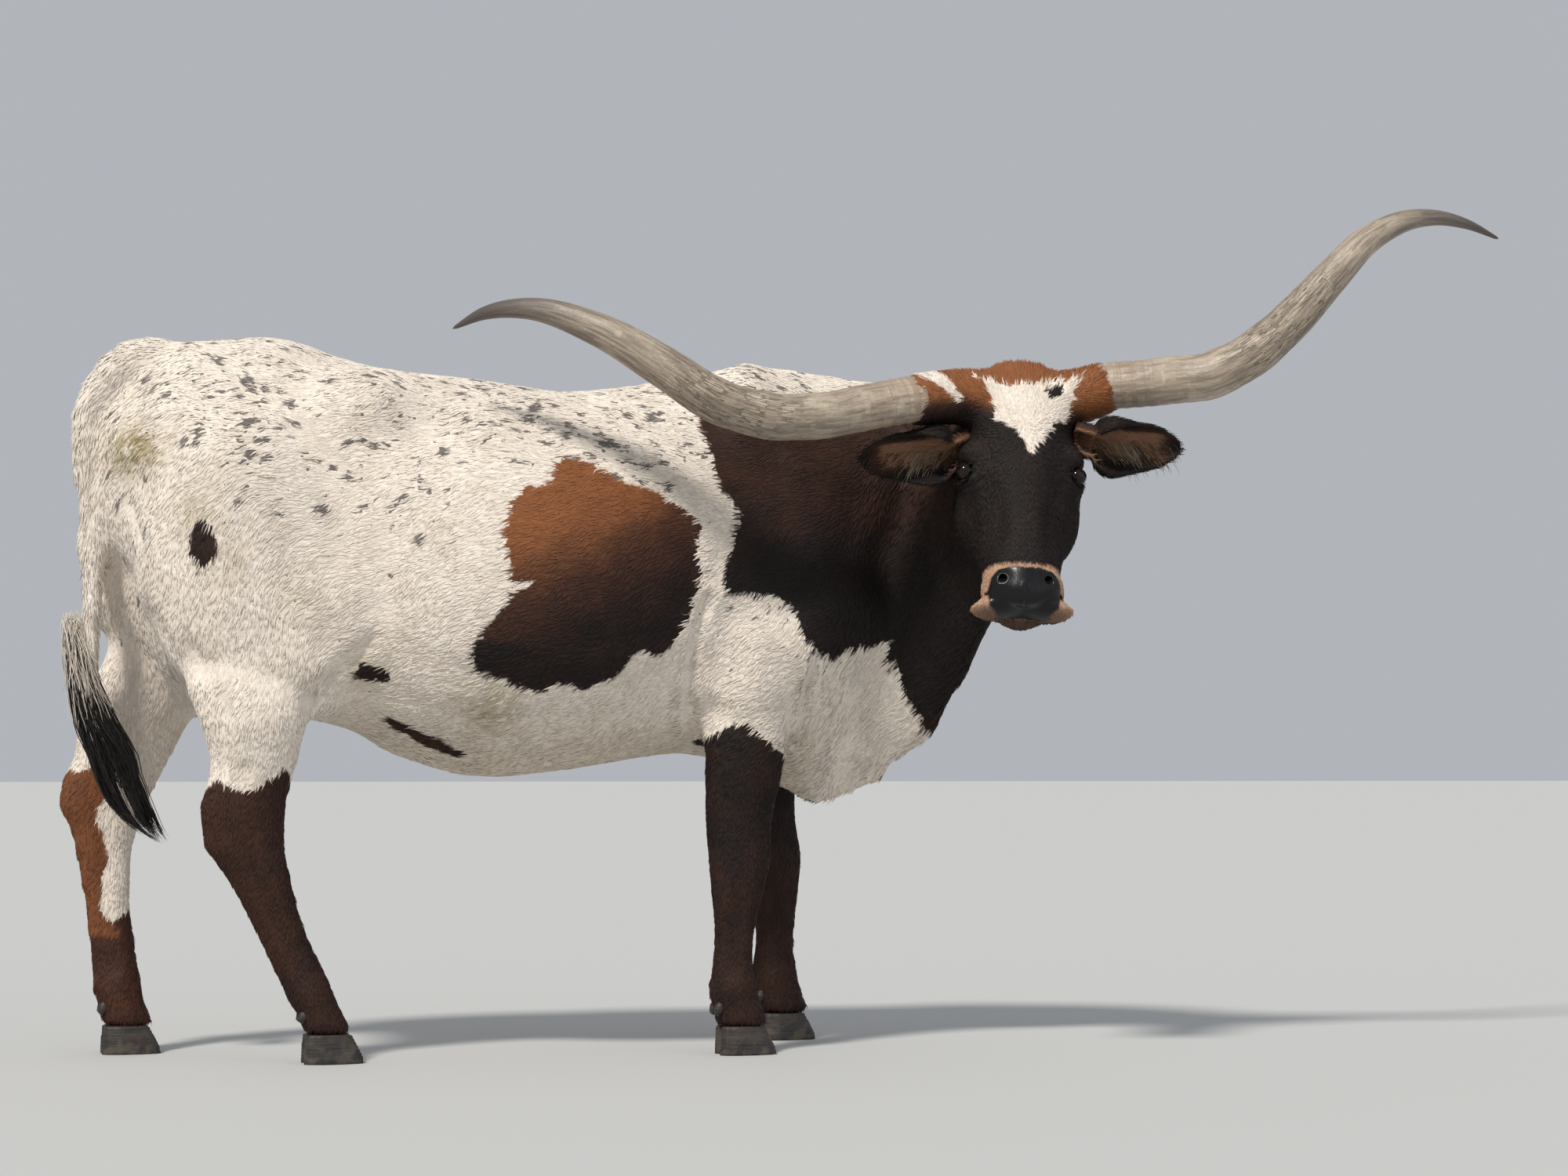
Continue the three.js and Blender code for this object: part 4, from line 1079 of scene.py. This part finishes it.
def makeTufts(name, roots, normals, ways, lengths, widths, lifts, shades, markA, markB, uv):
    n = len(roots)
    across = np.cross(normals, ways)
    up = normals * (widths * 0.34)[:, None]
    half = across * (widths * 0.5)[:, None]
    rest = roots - normals * rootDepth
    mid = roots + ways * (lengths * 0.5)[:, None] + normals * (lengths * lifts * 0.62)[:, None]
    curl = dice.normal(0, 0.10, n)
    tip = roots + ways * lengths[:, None] + normals * (lengths * lifts)[:, None]
    tip = tip + across * (lengths * curl)[:, None]
    points = [rest - half, rest + half, roots + up, mid - half * 0.9, mid + half * 0.9, mid + up * 1.1, tip]
    faces = (np.arange(n)[:, None, None] * 7 + tuftFaces).reshape(-1, 3)
    coat = meshFrom(name, np.stack(points, 1), faces, uv[faces // 7] + tuftPatch[faces % 7], coatPaint)
    softNormals = unit(normalsOf(coat) * ownShading + np.repeat(normals, 7, axis=0) * (1 - ownShading))
    coat.data.normals_split_custom_set_from_vertices(softNormals)
    for label, values in (("place", roots), ("markA", markA), ("markB", markB)):
        setAttribute(coat, label, "FLOAT_VECTOR", np.repeat(values, 7, axis=0))
    setAttribute(coat, "shade", "FLOAT", np.repeat(shades, 7))
    return coat


def atRoots(values, chosen, share):
    a, b, c = (values[triangles[chosen, k]] for k in range(3))
    if values.ndim == 1:
        return a * share[:, 0] + b * share[:, 1] + c * share[:, 2]
    return a * share[:, :1] + b * share[:, 1:2] + c * share[:, 2:]


# roots are drawn over the skin, more of them where the coat is dense, and cut into pieces from tail to nose
faceCount = area * tuftCount[triangles].mean(1)
total = int(faceCount.sum())
pick = dice.choice(len(triangles), total, p=faceCount / faceCount.sum())
share = dice.dirichlet((1, 1, 1), total)
roots = atRoots(skinPoints, pick, share)
headLast = atRoots(isEar, pick, share) + atRoots(weights["head"], pick, share) > 0.5
order = np.argsort(roots[:, 0] + 3 * headLast)
pieces = max(1, math.ceil(total / mostTufts))
print("tufts", total, "in", pieces)
for number, part in enumerate(np.array_split(order, pieces)):
    chosen, mix = pick[part], share[part]
    n = len(part)
    normals = unit(atRoots(skinNormals, chosen, mix))
    ways = atRoots(lie, chosen, mix)
    ways = unit(ways - normals * (ways * normals).sum(1)[:, None])
    turnBy = dice.normal(0, 0.16, n)
    ways = unit(ways + np.cross(normals, ways) * turnBy[:, None])
    uv = (unwrap[chosen] * mix[:, :, None]).sum(1)
    lengths = atRoots(tuftLength, chosen, mix) * dice.uniform(0.7, 1.25, n)
    widths = atRoots(tuftWidth, chosen, mix) * dice.uniform(0.7, 1.3, n)
    lifts = atRoots(tuftLift, chosen, mix) * dice.uniform(0.5, 1.4, n)
    shades = dice.uniform(0.86, 1.10, n)
    marks = atRoots(markA, chosen, mix), atRoots(markB, chosen, mix)
    sizes = lengths, widths, lifts, shades
    coat = makeTufts(f"coat{number + 1}", roots[part], normals, ways, *sizes, *marks, uv)
print("coat made")

# long hair: the tail's brush and the ears' fringe
longPaint, tree, shader = addPaint("longHair")
kind = attributeNode(tree, "hairKind").outputs["Vector"]
hairKind = addNode(tree, "ShaderNodeSeparateXYZ", links={0: kind})  # share of white, share of tan, shade
longTone = {"black": (0.014, 0.011, 0.010), "white": (0.62, 0.55, 0.47), "tan": (0.42, 0.27, 0.12)}
tone = mixNode(tree, hairKind.outputs[0], longTone["black"], longTone["white"])
tone = mixNode(tree, hairKind.outputs[1], tone, longTone["tan"])
tree.links.new(scaleNode(tree, tone, hairKind.outputs[2]), shader.inputs["Base Color"])
shader.inputs["Roughness"].default_value = 0.45
shader.inputs["Specular IOR Level"].default_value = 0.35


# a smooth curve through rows of place and radius, at shares t of its length
def curveThrough(rows, t):
    rows = np.array(rows, float)
    gaps = np.r_[0, np.cumsum(np.linalg.norm(np.diff(rows[:, :3], axis=0), axis=1))]
    s = t * gaps[-1]
    k = np.clip(np.searchsorted(gaps, s, side="right") - 1, 0, len(rows) - 2)
    slopes = np.gradient(rows, gaps, axis=0)
    h = (gaps[k + 1] - gaps[k])[:, None]
    u = ((s - gaps[k])[:, None]) / h
    a, b, ma, mb = rows[k], rows[k + 1], slopes[k] * h, slopes[k + 1] * h
    start = (2 * u**3 - 3 * u**2 + 1) * a + (u**3 - 2 * u**2 + u) * ma
    return start + (3 * u**2 - 2 * u**3) * b + (u**3 - u**2) * mb


# many hairs at once: paths is (hairs, steps, 3) and each hair is a three-sided tube closed at both ends
def makeHairs(name, paths, thick, kinds):
    n, steps = paths.shape[:2]
    ways = unit(np.gradient(paths, axis=1))
    sides = unit(np.cross(ways, dice.normal(0, 1, (n, 1, 3))))
    ups = np.cross(ways, sides)
    taper = np.sin(np.linspace(0.35, 1, steps) * math.pi) ** 0.5
    taper[-1] = 0
    radius = thick[:, None, None] * taper[None, :, None]
    thirds = np.arange(3) * 2 * math.pi / 3
    rings = [paths + radius * (math.cos(angle) * sides + math.sin(angle) * ups) for angle in thirds]
    points = np.stack(rings, 2).reshape(-1, 3)
    base = np.arange(n)[:, None, None] * steps * 3
    ring = (np.arange(steps - 1) * 3)[None, :, None]
    corners = []
    for k in range(3):
        nextK = (k + 1) % 3
        corners.append(base + ring + np.array([k, nextK, nextK + 3]))
        corners.append(base + ring + np.array([k, nextK + 3, k + 3]))
    corners.append(base + np.array([0, 2, 1]))
    faces = np.concatenate([c.reshape(-1, 3) for c in corners])
    # each hair has a patch of its own in a grid over the unwrap
    number = np.arange(n)
    spot = np.stack([(number % 40 + 0.5) / 40, (number // 40 + 0.5) / (n // 40 + 1)], 1)
    corner = np.array([[-1, -1], [1, -1], [0, 1]]) * patchHalf
    hair = meshFrom(name, points, faces, spot[faces // (steps * 3)] + corner[faces % 3], longPaint)
    setAttribute(hair, "hairKind", "FLOAT_VECTOR", np.repeat(kinds, steps * 3, axis=0))
    return hair


brushMake = {"hairs": 1800, "locks": 34, "white": 0.30, "steps": 12, "thick": 0.0012}
# x, height and half width of the brush from its top to its end
brushShape = np.array([
    (-1.500, 0.930, 0.024), (-1.482, 0.850, 0.024), (-1.467, 0.775, 0.026), (-1.442, 0.700, 0.034),
    (-1.410, 0.640, 0.042), (-1.386, 0.575, 0.044), (-1.361, 0.515, 0.038), (-1.326, 0.468, 0.024),
    (-1.298, 0.445, 0.012),
])
brushRows = np.insert(brushShape, 1, midLine, axis=1)
n = brushMake["hairs"]
locks = brushMake["locks"]
isWhite = dice.uniform(0, 1, n) < brushMake["white"]
lock = dice.integers(0, locks, n)
lockTurn = dice.uniform(0, 2 * math.pi, locks)[lock]
lockReach = (dice.uniform(0, 1, locks) ** 0.6)[lock]
lockStop = dice.uniform(0.66, 1.0, locks)[lock]
start = np.where(isWhite, dice.uniform(0.02, 0.22, n), dice.uniform(0.10, 0.42, n))
stop = np.where(isWhite, start + dice.uniform(0.16, 0.34, n), lockStop - np.abs(dice.normal(0, 0.05, n)))
turn = np.where(isWhite, dice.uniform(0, 2 * math.pi, n), lockTurn)
reach = np.where(isWhite, dice.uniform(0.4, 1.05, n), lockReach * 1.1)
steps = np.linspace(0, 1, brushMake["steps"])
path = start[:, None] + (stop - start)[:, None] * steps[None, :]
centres = curveThrough(brushRows, path.ravel()).reshape(n, len(steps), 4)
wave = 0.75 * smoothStep(0.45, 1, path) * np.sin(path * 9 + lockTurn[:, None] * 3)
wave = wave + 0.10 * np.sin(path * 31 + dice.uniform(0, 6, (n, 1)))
fan = centres[:, :, 3] * reach[:, None] * smoothStep(-0.15, 0.35, steps)[None, :]
loose = dice.normal(0, 1, (n, 1, 3)) * (0.0075 * (1 - 0.75 * steps))[None, :, None]
stray = np.where(isWhite, 0.012, 0.002)[:, None, None] * steps[None, :, None] ** 2
loose = loose + stray * dice.normal(0, 1, (n, 1, 3))
paths = centres[:, :, :3] + loose
paths[:, :, 0] += fan * np.cos(turn[:, None] + wave)
paths[:, :, 1] += fan * np.sin(turn[:, None] + wave) * 0.85
kinds = np.stack([isWhite, np.zeros(n), dice.uniform(0.7, 1.15, n)], 1)
tailBrush = makeHairs("tailBrush", paths, brushMake["thick"] * dice.uniform(0.7, 1.2, n), kinds)
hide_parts("tail_switch")
print("tail brush", n, "hairs")

# the fringe hangs from the lower half of each ear
skinTree = BVHTree.FromObject(skin, bpy.context.evaluated_depsgraph_get())
fringeMake = {"hairs": 230, "steps": 9, "thick": 0.0006, "long": 0.062}
n = fringeMake["hairs"]
steps = np.linspace(0, 1, fringeMake["steps"])
for side in ("right", "left"):
    root, tip, way, facing = earFrame(side)
    low = np.cross(facing, way)
    low = low if low[2] < 0 else -low
    along = dice.uniform(0.02, 0.92, n) ** 1.5
    leafWidth = earMake["halfWidth"] * np.sin((0.12 + 0.80 * along) * math.pi) ** 0.6
    lower = dice.uniform(-0.10, 0.70, n) * leafWidth
    roots = root + (tip - root) * along[:, None] + low * lower[:, None] + facing * 0.004
    roots = np.array([skinTree.find_nearest(Vector(spot))[0] for spot in roots])
    long = fringeMake["long"] * dice.uniform(0.4, 1.1, n) * (0.75 + 0.45 * bell(along, 0.3, 0.15))
    first = unit(facing * 0.5 + low * 0.3 + way * 0.8 + dice.normal(0, 0.22, (n, 3)))
    last = unit(np.array([0.05, 0, -1.0]) + way * 0.35 + dice.normal(0, 0.16, (n, 3)))
    ways = first[:, None, :] * (1 - steps)[None, :, None] + last[:, None, :] * steps[None, :, None]
    paths = roots[:, None, :] + np.cumsum(ways, axis=1) * (long / len(steps))[:, None, None]
    paths = paths - ways[:, :1] * 0.004
    pale = np.abs(along - 0.30) < 0.16 + dice.normal(0, 0.04, n)
    tanMix = np.where(pale, dice.uniform(0.25, 0.6, n), dice.uniform(0, 0.35, n))
    kinds = np.stack([0.75 * pale, tanMix, dice.uniform(0.6, 1.0, n)], 1)
    fringe = makeHairs(side + "EarFringe", paths, fringeMake["thick"] * dice.uniform(0.7, 1.2, n), kinds)
print("ear fringe")

# horns: centre line and radius from the head to the tip, in metres
hornRows = {
    "right": [
        (0.1896, -0.2752, 1.371, 0.049), (0.111, -0.285, 1.356, 0.048), (-0.004, -0.307, 1.331, 0.048),
        (-0.131, -0.321, 1.325, 0.048), (-0.251, -0.327, 1.360, 0.046), (-0.341, -0.327, 1.414, 0.043),
        (-0.482, -0.297, 1.496, 0.034), (-0.602, -0.247, 1.538, 0.023), (-0.687, -0.182, 1.536, 0.014),
        (-0.748, -0.127, 1.508, 0.003),
    ],
    "left": [
        (0.6296, -0.3032, 1.411, 0.050), (0.728, -0.337, 1.420, 0.050), (0.827, -0.377, 1.433, 0.050),
        (0.908, -0.417, 1.477, 0.047), (0.985, -0.447, 1.550, 0.043), (1.066, -0.467, 1.640, 0.037),
        (1.148, -0.467, 1.719, 0.030), (1.235, -0.457, 1.764, 0.023), (1.317, -0.437, 1.779, 0.017),
        (1.406, -0.407, 1.774, 0.011), (1.504, -0.367, 1.752, 0.003),
    ],
}
hornMake = {
    "rings": 190,
    "sides": 40,
    "inside": 0.03,  # how far the base runs on into the head
    "ringDepth": 0.0009,
    "bendRings": 0.0011,
    "lumps": 0.0010,
}


# the curve's points with a side and an up way at each that don't twist
def tubeFrames(rows, steps):
    line = curveThrough(rows, np.linspace(0, 1, steps))
    ways = unit(np.gradient(line[:, :3], axis=0))
    first = unit(np.cross(ways[0], [0, 0, 1]))
    sides = [first]
    for way in ways[1:]:
        nextSide = sides[-1] - way * (sides[-1] @ way)
        sides.append(nextSide / np.linalg.norm(nextSide))
    sides = np.array(sides)
    return line, ways, sides, np.cross(ways, sides)


def makeHorn(side):
    rows = [list(r) for r in hornRows[side]]
    start = np.array(rows[0][:3])
    back = unit(start - np.array(rows[1][:3]))
    rows[0][:3] = list(start + back * hornMake["inside"])
    steps = 400
    line, ways, sides, ups = tubeFrames(rows, steps)

    def place(along, turn):
        k = np.clip((along * (steps - 1)).round().astype(int), 0, steps - 1)
        centre, radius = line[k, :3], line[k, 3].copy()
        ripple = np.sin(along * 250 + 0.8 * np.sin(turn * 2)) * hornMake["ringDepth"] * np.exp(-along * 5.5)
        ripple += np.sin(along * 61 + np.sin(turn) * 0.7) * hornMake["bendRings"] * bell(along, 0.28, 0.16)
        lumps = hornMake["lumps"] * np.sin(turn * 3 + along * 9) * np.sin(along * 33) * (1 - along)
        radius = radius + ripple + lumps
        radius = radius * np.where((along < 0.002) | (along > 0.999), 0.0, 1.0)
        radius = radius * np.sqrt(np.clip((1 - along) * 90, 0, 1))
        aside, above = radius * np.cos(turn), radius * np.sin(turn)
        return centre + sides[k] * aside[:, None] + ups[k] * above[:, None]

    horn = wrapTube("horn_" + side, hornMake["rings"], hornMake["sides"], place)
    # each point's share of the length and its way round the horn, for the grain
    spots = pointsOf(horn)
    best = np.array([np.argmin(((line[::4, :3] - p) ** 2).sum(1)) for p in spots]) * 4
    off = unit(spots - line[best, :3])
    along = best / (steps - 1)
    grain = np.stack([along, (off * sides[best]).sum(1), (off * ups[best]).sum(1)], 1)
    setAttribute(horn, "grain", "FLOAT_VECTOR", grain)
    return horn


hornPaint, tree, shader = addPaint("hornSheath")
grain = attributeNode(tree, "grain").outputs["Vector"]
along = addNode(tree, "ShaderNodeSeparateXYZ", links={0: grain}).outputs[0]
# each look's squeeze along and round the horn, scale and detail
hornLooks = {
    "streak": ((2.4, 1, 1), 5.0, 5),
    "fine": ((5, 1, 1), 17.0, 4),
    "patch": ((14, 1, 1), 1.3, 4),
    "rings": ((120, 0.25, 0.25), 1.0, 2),
}
looks = {}
for label, (squeeze, scale, detail) in hornLooks.items():
    looks[label] = noiseNode(tree, stretchNode(tree, grain, squeeze), scale, detail, 0.6).outputs[0]
hornTone = {
    "pale": (0.44, 0.36, 0.275),
    "streak": (0.215, 0.17, 0.13),
    "fine": (0.20, 0.155, 0.11),
    "patch": (0.60, 0.51, 0.39),
    "rings": (0.30, 0.20, 0.13),
    "crack": (0.105, 0.078, 0.055),
    "tip": (0.085, 0.07, 0.06),
}
tone = mixNode(tree, rangeNode(tree, looks["streak"], 0.36, 0.66), hornTone["pale"], hornTone["streak"])
tone = mixNode(tree, rangeNode(tree, looks["fine"], 0.42, 0.72, 0, 0.55), tone, hornTone["fine"])
tone = mixNode(tree, rangeNode(tree, looks["patch"], 0.52, 0.72, 0, 0.6), tone, hornTone["patch"])
nearHead = rangeNode(tree, along, 0.22, 0.02)
ringShare = mathNode(tree, "MULTIPLY", rangeNode(tree, looks["rings"], 0.45, 0.62), nearHead)
tone = mixNode(tree, mathNode(tree, "MULTIPLY", ringShare, 0.6), tone, hornTone["rings"])
tipEdge = mathNode(tree, "ADD", along, mathNode(tree, "MULTIPLY", looks["streak"], 0.16))
# flaking bark over the bend
flakes = addNode(tree, "ShaderNodeTexVoronoi", {"Scale": 1.0}, feature="DISTANCE_TO_EDGE")
flakePlace = addNode(tree, "ShaderNodeVectorMath", operation="MULTIPLY_ADD")
tree.links.new(grain, flakePlace.inputs[0])
flakePlace.inputs[1].default_value = (26, 9, 9)
flakeBend = addNode(tree, "ShaderNodeVectorMath", operation="SCALE")
flakeBend.inputs["Scale"].default_value = 1.6
tree.links.new(noiseNode(tree, grain, 7.0, 3).outputs[1], flakeBend.inputs[0])
tree.links.new(flakeBend.outputs[0], flakePlace.inputs[2])
tree.links.new(flakePlace.outputs[0], flakes.inputs["Vector"])
barkZone = mathNode(tree, "MULTIPLY", rangeNode(tree, along, 0.20, 0.34), rangeNode(tree, along, 0.62, 0.46))
crack = mathNode(tree, "MULTIPLY", rangeNode(tree, flakes.outputs["Distance"], 0.13, 0.0), barkZone)
crack = mathNode(tree, "MULTIPLY", crack, rangeNode(tree, looks["patch"], 0.34, 0.52, 0.15, 0.95))
tone = mixNode(tree, crack, tone, hornTone["crack"])
tone = mixNode(tree, rangeNode(tree, tipEdge, 0.66, 1.02), tone, hornTone["tip"])
tree.links.new(tone, shader.inputs["Base Color"])
height = mathNode(tree, "MULTIPLY", looks["fine"], 0.6)
for look, much in ((looks["streak"], 0.8), (ringShare, 0.5), (crack, -0.8)):
    height = mathNode(tree, "ADD", height, mathNode(tree, "MULTIPLY", look, much))
bumpFrom(tree, shader, height, 0.5, 0.003)
tree.links.new(rangeNode(tree, looks["streak"], 0.3, 0.7, 0.36, 0.58), shader.inputs["Roughness"])
for side in ("right", "left"):
    horn = makeHorn(side)
    horn.data.materials.append(hornPaint)
    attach(horn, "root")
    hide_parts("horn_" + side)
    horn.name = "hornSheath_" + side
print("horns made")

# eyes: an oblong pupil in a dark brown iris; half widths and heights in metres
eyeMake = {"pupil": (0.0095, 0.0045), "iris": (0.0180, 0.0150), "bulge": 0.0012, "bulgeWidth": 0.012}
eyeTone = {"pupil": (0.001, 0.001, 0.0015), "iris": (0.011, 0.006, 0.004), "outer": (0.008, 0.005, 0.004)}
eyePaint, tree, shader = addPaint("wetEye")
gaze = addNode(tree, "ShaderNodeSeparateXYZ", links={0: attributeNode(tree, "gaze").outputs["Vector"]})


# 1 at the oval's edge, less inside
def ovalNode(tree, halves):
    squares = []
    for socket, half in zip(gaze.outputs, halves):
        side = mathNode(tree, "MULTIPLY", socket, 1 / half)
        squares.append(mathNode(tree, "MULTIPLY", side, side))
    return mathNode(tree, "ADD", *squares)


irisShare = rangeNode(tree, ovalNode(tree, eyeMake["pupil"]), 0.8, 1.3)
outerShare = rangeNode(tree, ovalNode(tree, eyeMake["iris"]), 0.8, 1.15)
tone = mixNode(tree, irisShare, eyeTone["pupil"], eyeTone["iris"])
tone = mixNode(tree, outerShare, tone, eyeTone["outer"])
tree.links.new(tone, shader.inputs["Base Color"])
shader.inputs["Roughness"].default_value = 0.07
shader.inputs["IOR"].default_value = 1.34
for side, sign in (("right", -1), ("left", 1)):
    centre = fromHead([sign * eyeSpot["side"], eyeSpot["out"], eyeSpot["down"]])
    bpy.ops.object.select_all(action="DESELECT")
    radius = eyeSpot["radius"] / 1000
    bpy.ops.mesh.primitive_uv_sphere_add(segments=48, ring_count=32, radius=radius, location=centre)
    ball = bpy.context.view_layer.objects.active
    bpy.ops.object.transform_apply(location=True, rotation=True, scale=True)
    ball.name = "eyeball_" + side
    forward = (eyeWay * np.array([sign, 1, 1])) @ headAxes
    upward = squareTo(-downWay, forward)
    offset = pointsOf(ball) - centre
    ahead, sideways, high = offset @ forward, offset @ np.cross(forward, upward), offset @ upward
    bulge = bell(np.hypot(sideways, high), 0, eyeMake["bulgeWidth"]) * (ahead > 0)
    setPoints(ball, pointsOf(ball) + forward * (eyeMake["bulge"] * bulge)[:, None])
    # the back half is put far off, so that it gets no pupil
    setAttribute(ball, "gaze", "FLOAT_VECTOR", np.stack([sideways, high + (ahead < 0), ahead], 1))
    smoothFaces(ball)
    ball.data.materials.append(eyePaint)
    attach(ball, "root")
    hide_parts("eye_" + side)
print("eyes made")

# claws and dewclaws: the CAD's own, remeshed, rounded and ridged across
clawMake = {"voxel": 0.0034, "rounds": 14, "ridge": 0.0005, "sole": 0.0022}
dewMake = {"shape": np.array([0.95, 0.92, 1.12]), "shift": np.array([0.007, 0, 0.002])}
clawPaint, tree, shader = addPaint("clawHorn")
coords = tree.nodes.new("ShaderNodeTexCoord").outputs["Object"]
bands = noiseNode(tree, stretchNode(tree, coords, (18, 18, 220)), 1.0, 3).outputs[0]
grime = noiseNode(tree, coords, 38, 4).outputs[0]
tone = mixNode(tree, rangeNode(tree, bands, 0.3, 0.7), (0.010, 0.0085, 0.008), (0.030, 0.024, 0.020))
heightOf = addNode(tree, "ShaderNodeSeparateXYZ", links={0: coords}).outputs[2]
nearGround = rangeNode(tree, heightOf, 0.07, 0.0, 0.15, 0.8)
dirt = mathNode(tree, "MULTIPLY", rangeNode(tree, grime, 0.42, 0.65), nearGround)
tone = mixNode(tree, dirt, tone, (0.085, 0.065, 0.045))
tree.links.new(tone, shader.inputs["Base Color"])
bumpFrom(tree, shader, bands, 0.5, 0.002)
shader.inputs["Roughness"].default_value = 0.55
for leg in ("fore_right", "fore_left", "hind_right", "hind_left"):
    names = [f"{kind}_{leg}_{end}" for kind in ("claw", "dewclaw") for end in ("inner", "outer")]
    shells = [copyNode(name) for name in names]
    for shell in shells:
        voxelRemesh(shell, clawMake["voxel"])
        spots = pointsOf(shell)
        spots = relax(spots, edgesOf(shell), clawMake["rounds"], np.ones(len(spots)))
        if shell.name.startswith("dewclaw"):
            middleOf = spots.mean(0)
            spots = middleOf + (spots - middleOf) * dewMake["shape"] + dewMake["shift"]
            setPoints(shell, spots)
            continue
        setPoints(shell, spots)
        ridge = np.sin(spots[:, 2] * 900 + 12 * spots[:, 0]) * clawMake["ridge"] * (spots[:, 2] > 0.008)
        spots = spots + normalsOf(shell) * ridge[:, None]
        spots[:, 2] = np.where(spots[:, 2] < clawMake["sole"], 0, spots[:, 2])  # flat under the foot
        setPoints(shell, spots)
    foot = joinAll(shells[0], shells[1:])
    foot.name = "claws_" + leg
    smoothFaces(foot)
    foot.data.materials.append(clawPaint)
    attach(foot, "root")
    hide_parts(*names)
print("claws made")

# floor, light and camera
floorMake = {"size": 400, "tone": (0.50, 0.50, 0.49, 1)}
bpy.ops.object.select_all(action="DESELECT")
bpy.ops.mesh.primitive_plane_add(size=floorMake["size"], location=(0, 0, 0))
floor = bpy.context.view_layer.objects.active
floor.name = "floor"
floorPaint, tree, floorShader = addPaint("floorPaint")
floorShader.inputs["Base Color"].default_value = floorMake["tone"]
floorShader.inputs["Roughness"].default_value = 0.9
floor.data.materials.append(floorPaint)

skyMake = {"tone": (0.83, 0.87, 0.93, 1), "power": 0.53}
worldLight = bpy.data.worlds.new("studio")
bpy.context.scene.world = worldLight
worldLight.use_nodes = True
background = worldLight.node_tree.nodes["Background"]
background.inputs["Color"].default_value = skyMake["tone"]
background.inputs["Strength"].default_value = skyMake["power"]

lampMake = [
    {"name": "keyLamp", "from": (-0.46, -0.50, 0.74), "spread": 8, "power": 3.1, "tone": (1.0, 0.965, 0.91)},
    {"name": "fillLamp", "from": (0.55, -0.75, 0.30), "spread": 60, "power": 0.35, "tone": (0.92, 0.96, 1.0)},
]
for make in lampMake:
    bpy.ops.object.light_add(type="SUN", location=(0, 0, 4))
    lamp = bpy.context.view_layer.objects.active
    lamp.name = make["name"]
    lamp.data.angle = math.radians(make["spread"])
    lamp.data.energy = make["power"]
    lamp.data.color = make["tone"]
    lamp.rotation_euler = (-Vector(make["from"])).to_track_quat("-Z", "Y").to_euler()

cameraMake = {"at": (-1.8282, -6.8020, 0.595), "turn": 15.0, "lift": 3.213, "lens": 75.35, "sensor": 36}
bpy.ops.object.camera_add(location=cameraMake["at"])
camera = bpy.context.view_layer.objects.active
camera.name = "photoCamera"
camera.rotation_euler = (math.radians(90 + cameraMake["lift"]), 0, math.radians(-cameraMake["turn"]))
camera.data.lens = cameraMake["lens"]
camera.data.sensor_width = cameraMake["sensor"]
camera.data.sensor_fit = "HORIZONTAL"
bpy.context.scene.camera = camera
bpy.context.scene.view_settings.view_transform = "Standard"

print("floor, light and camera set")
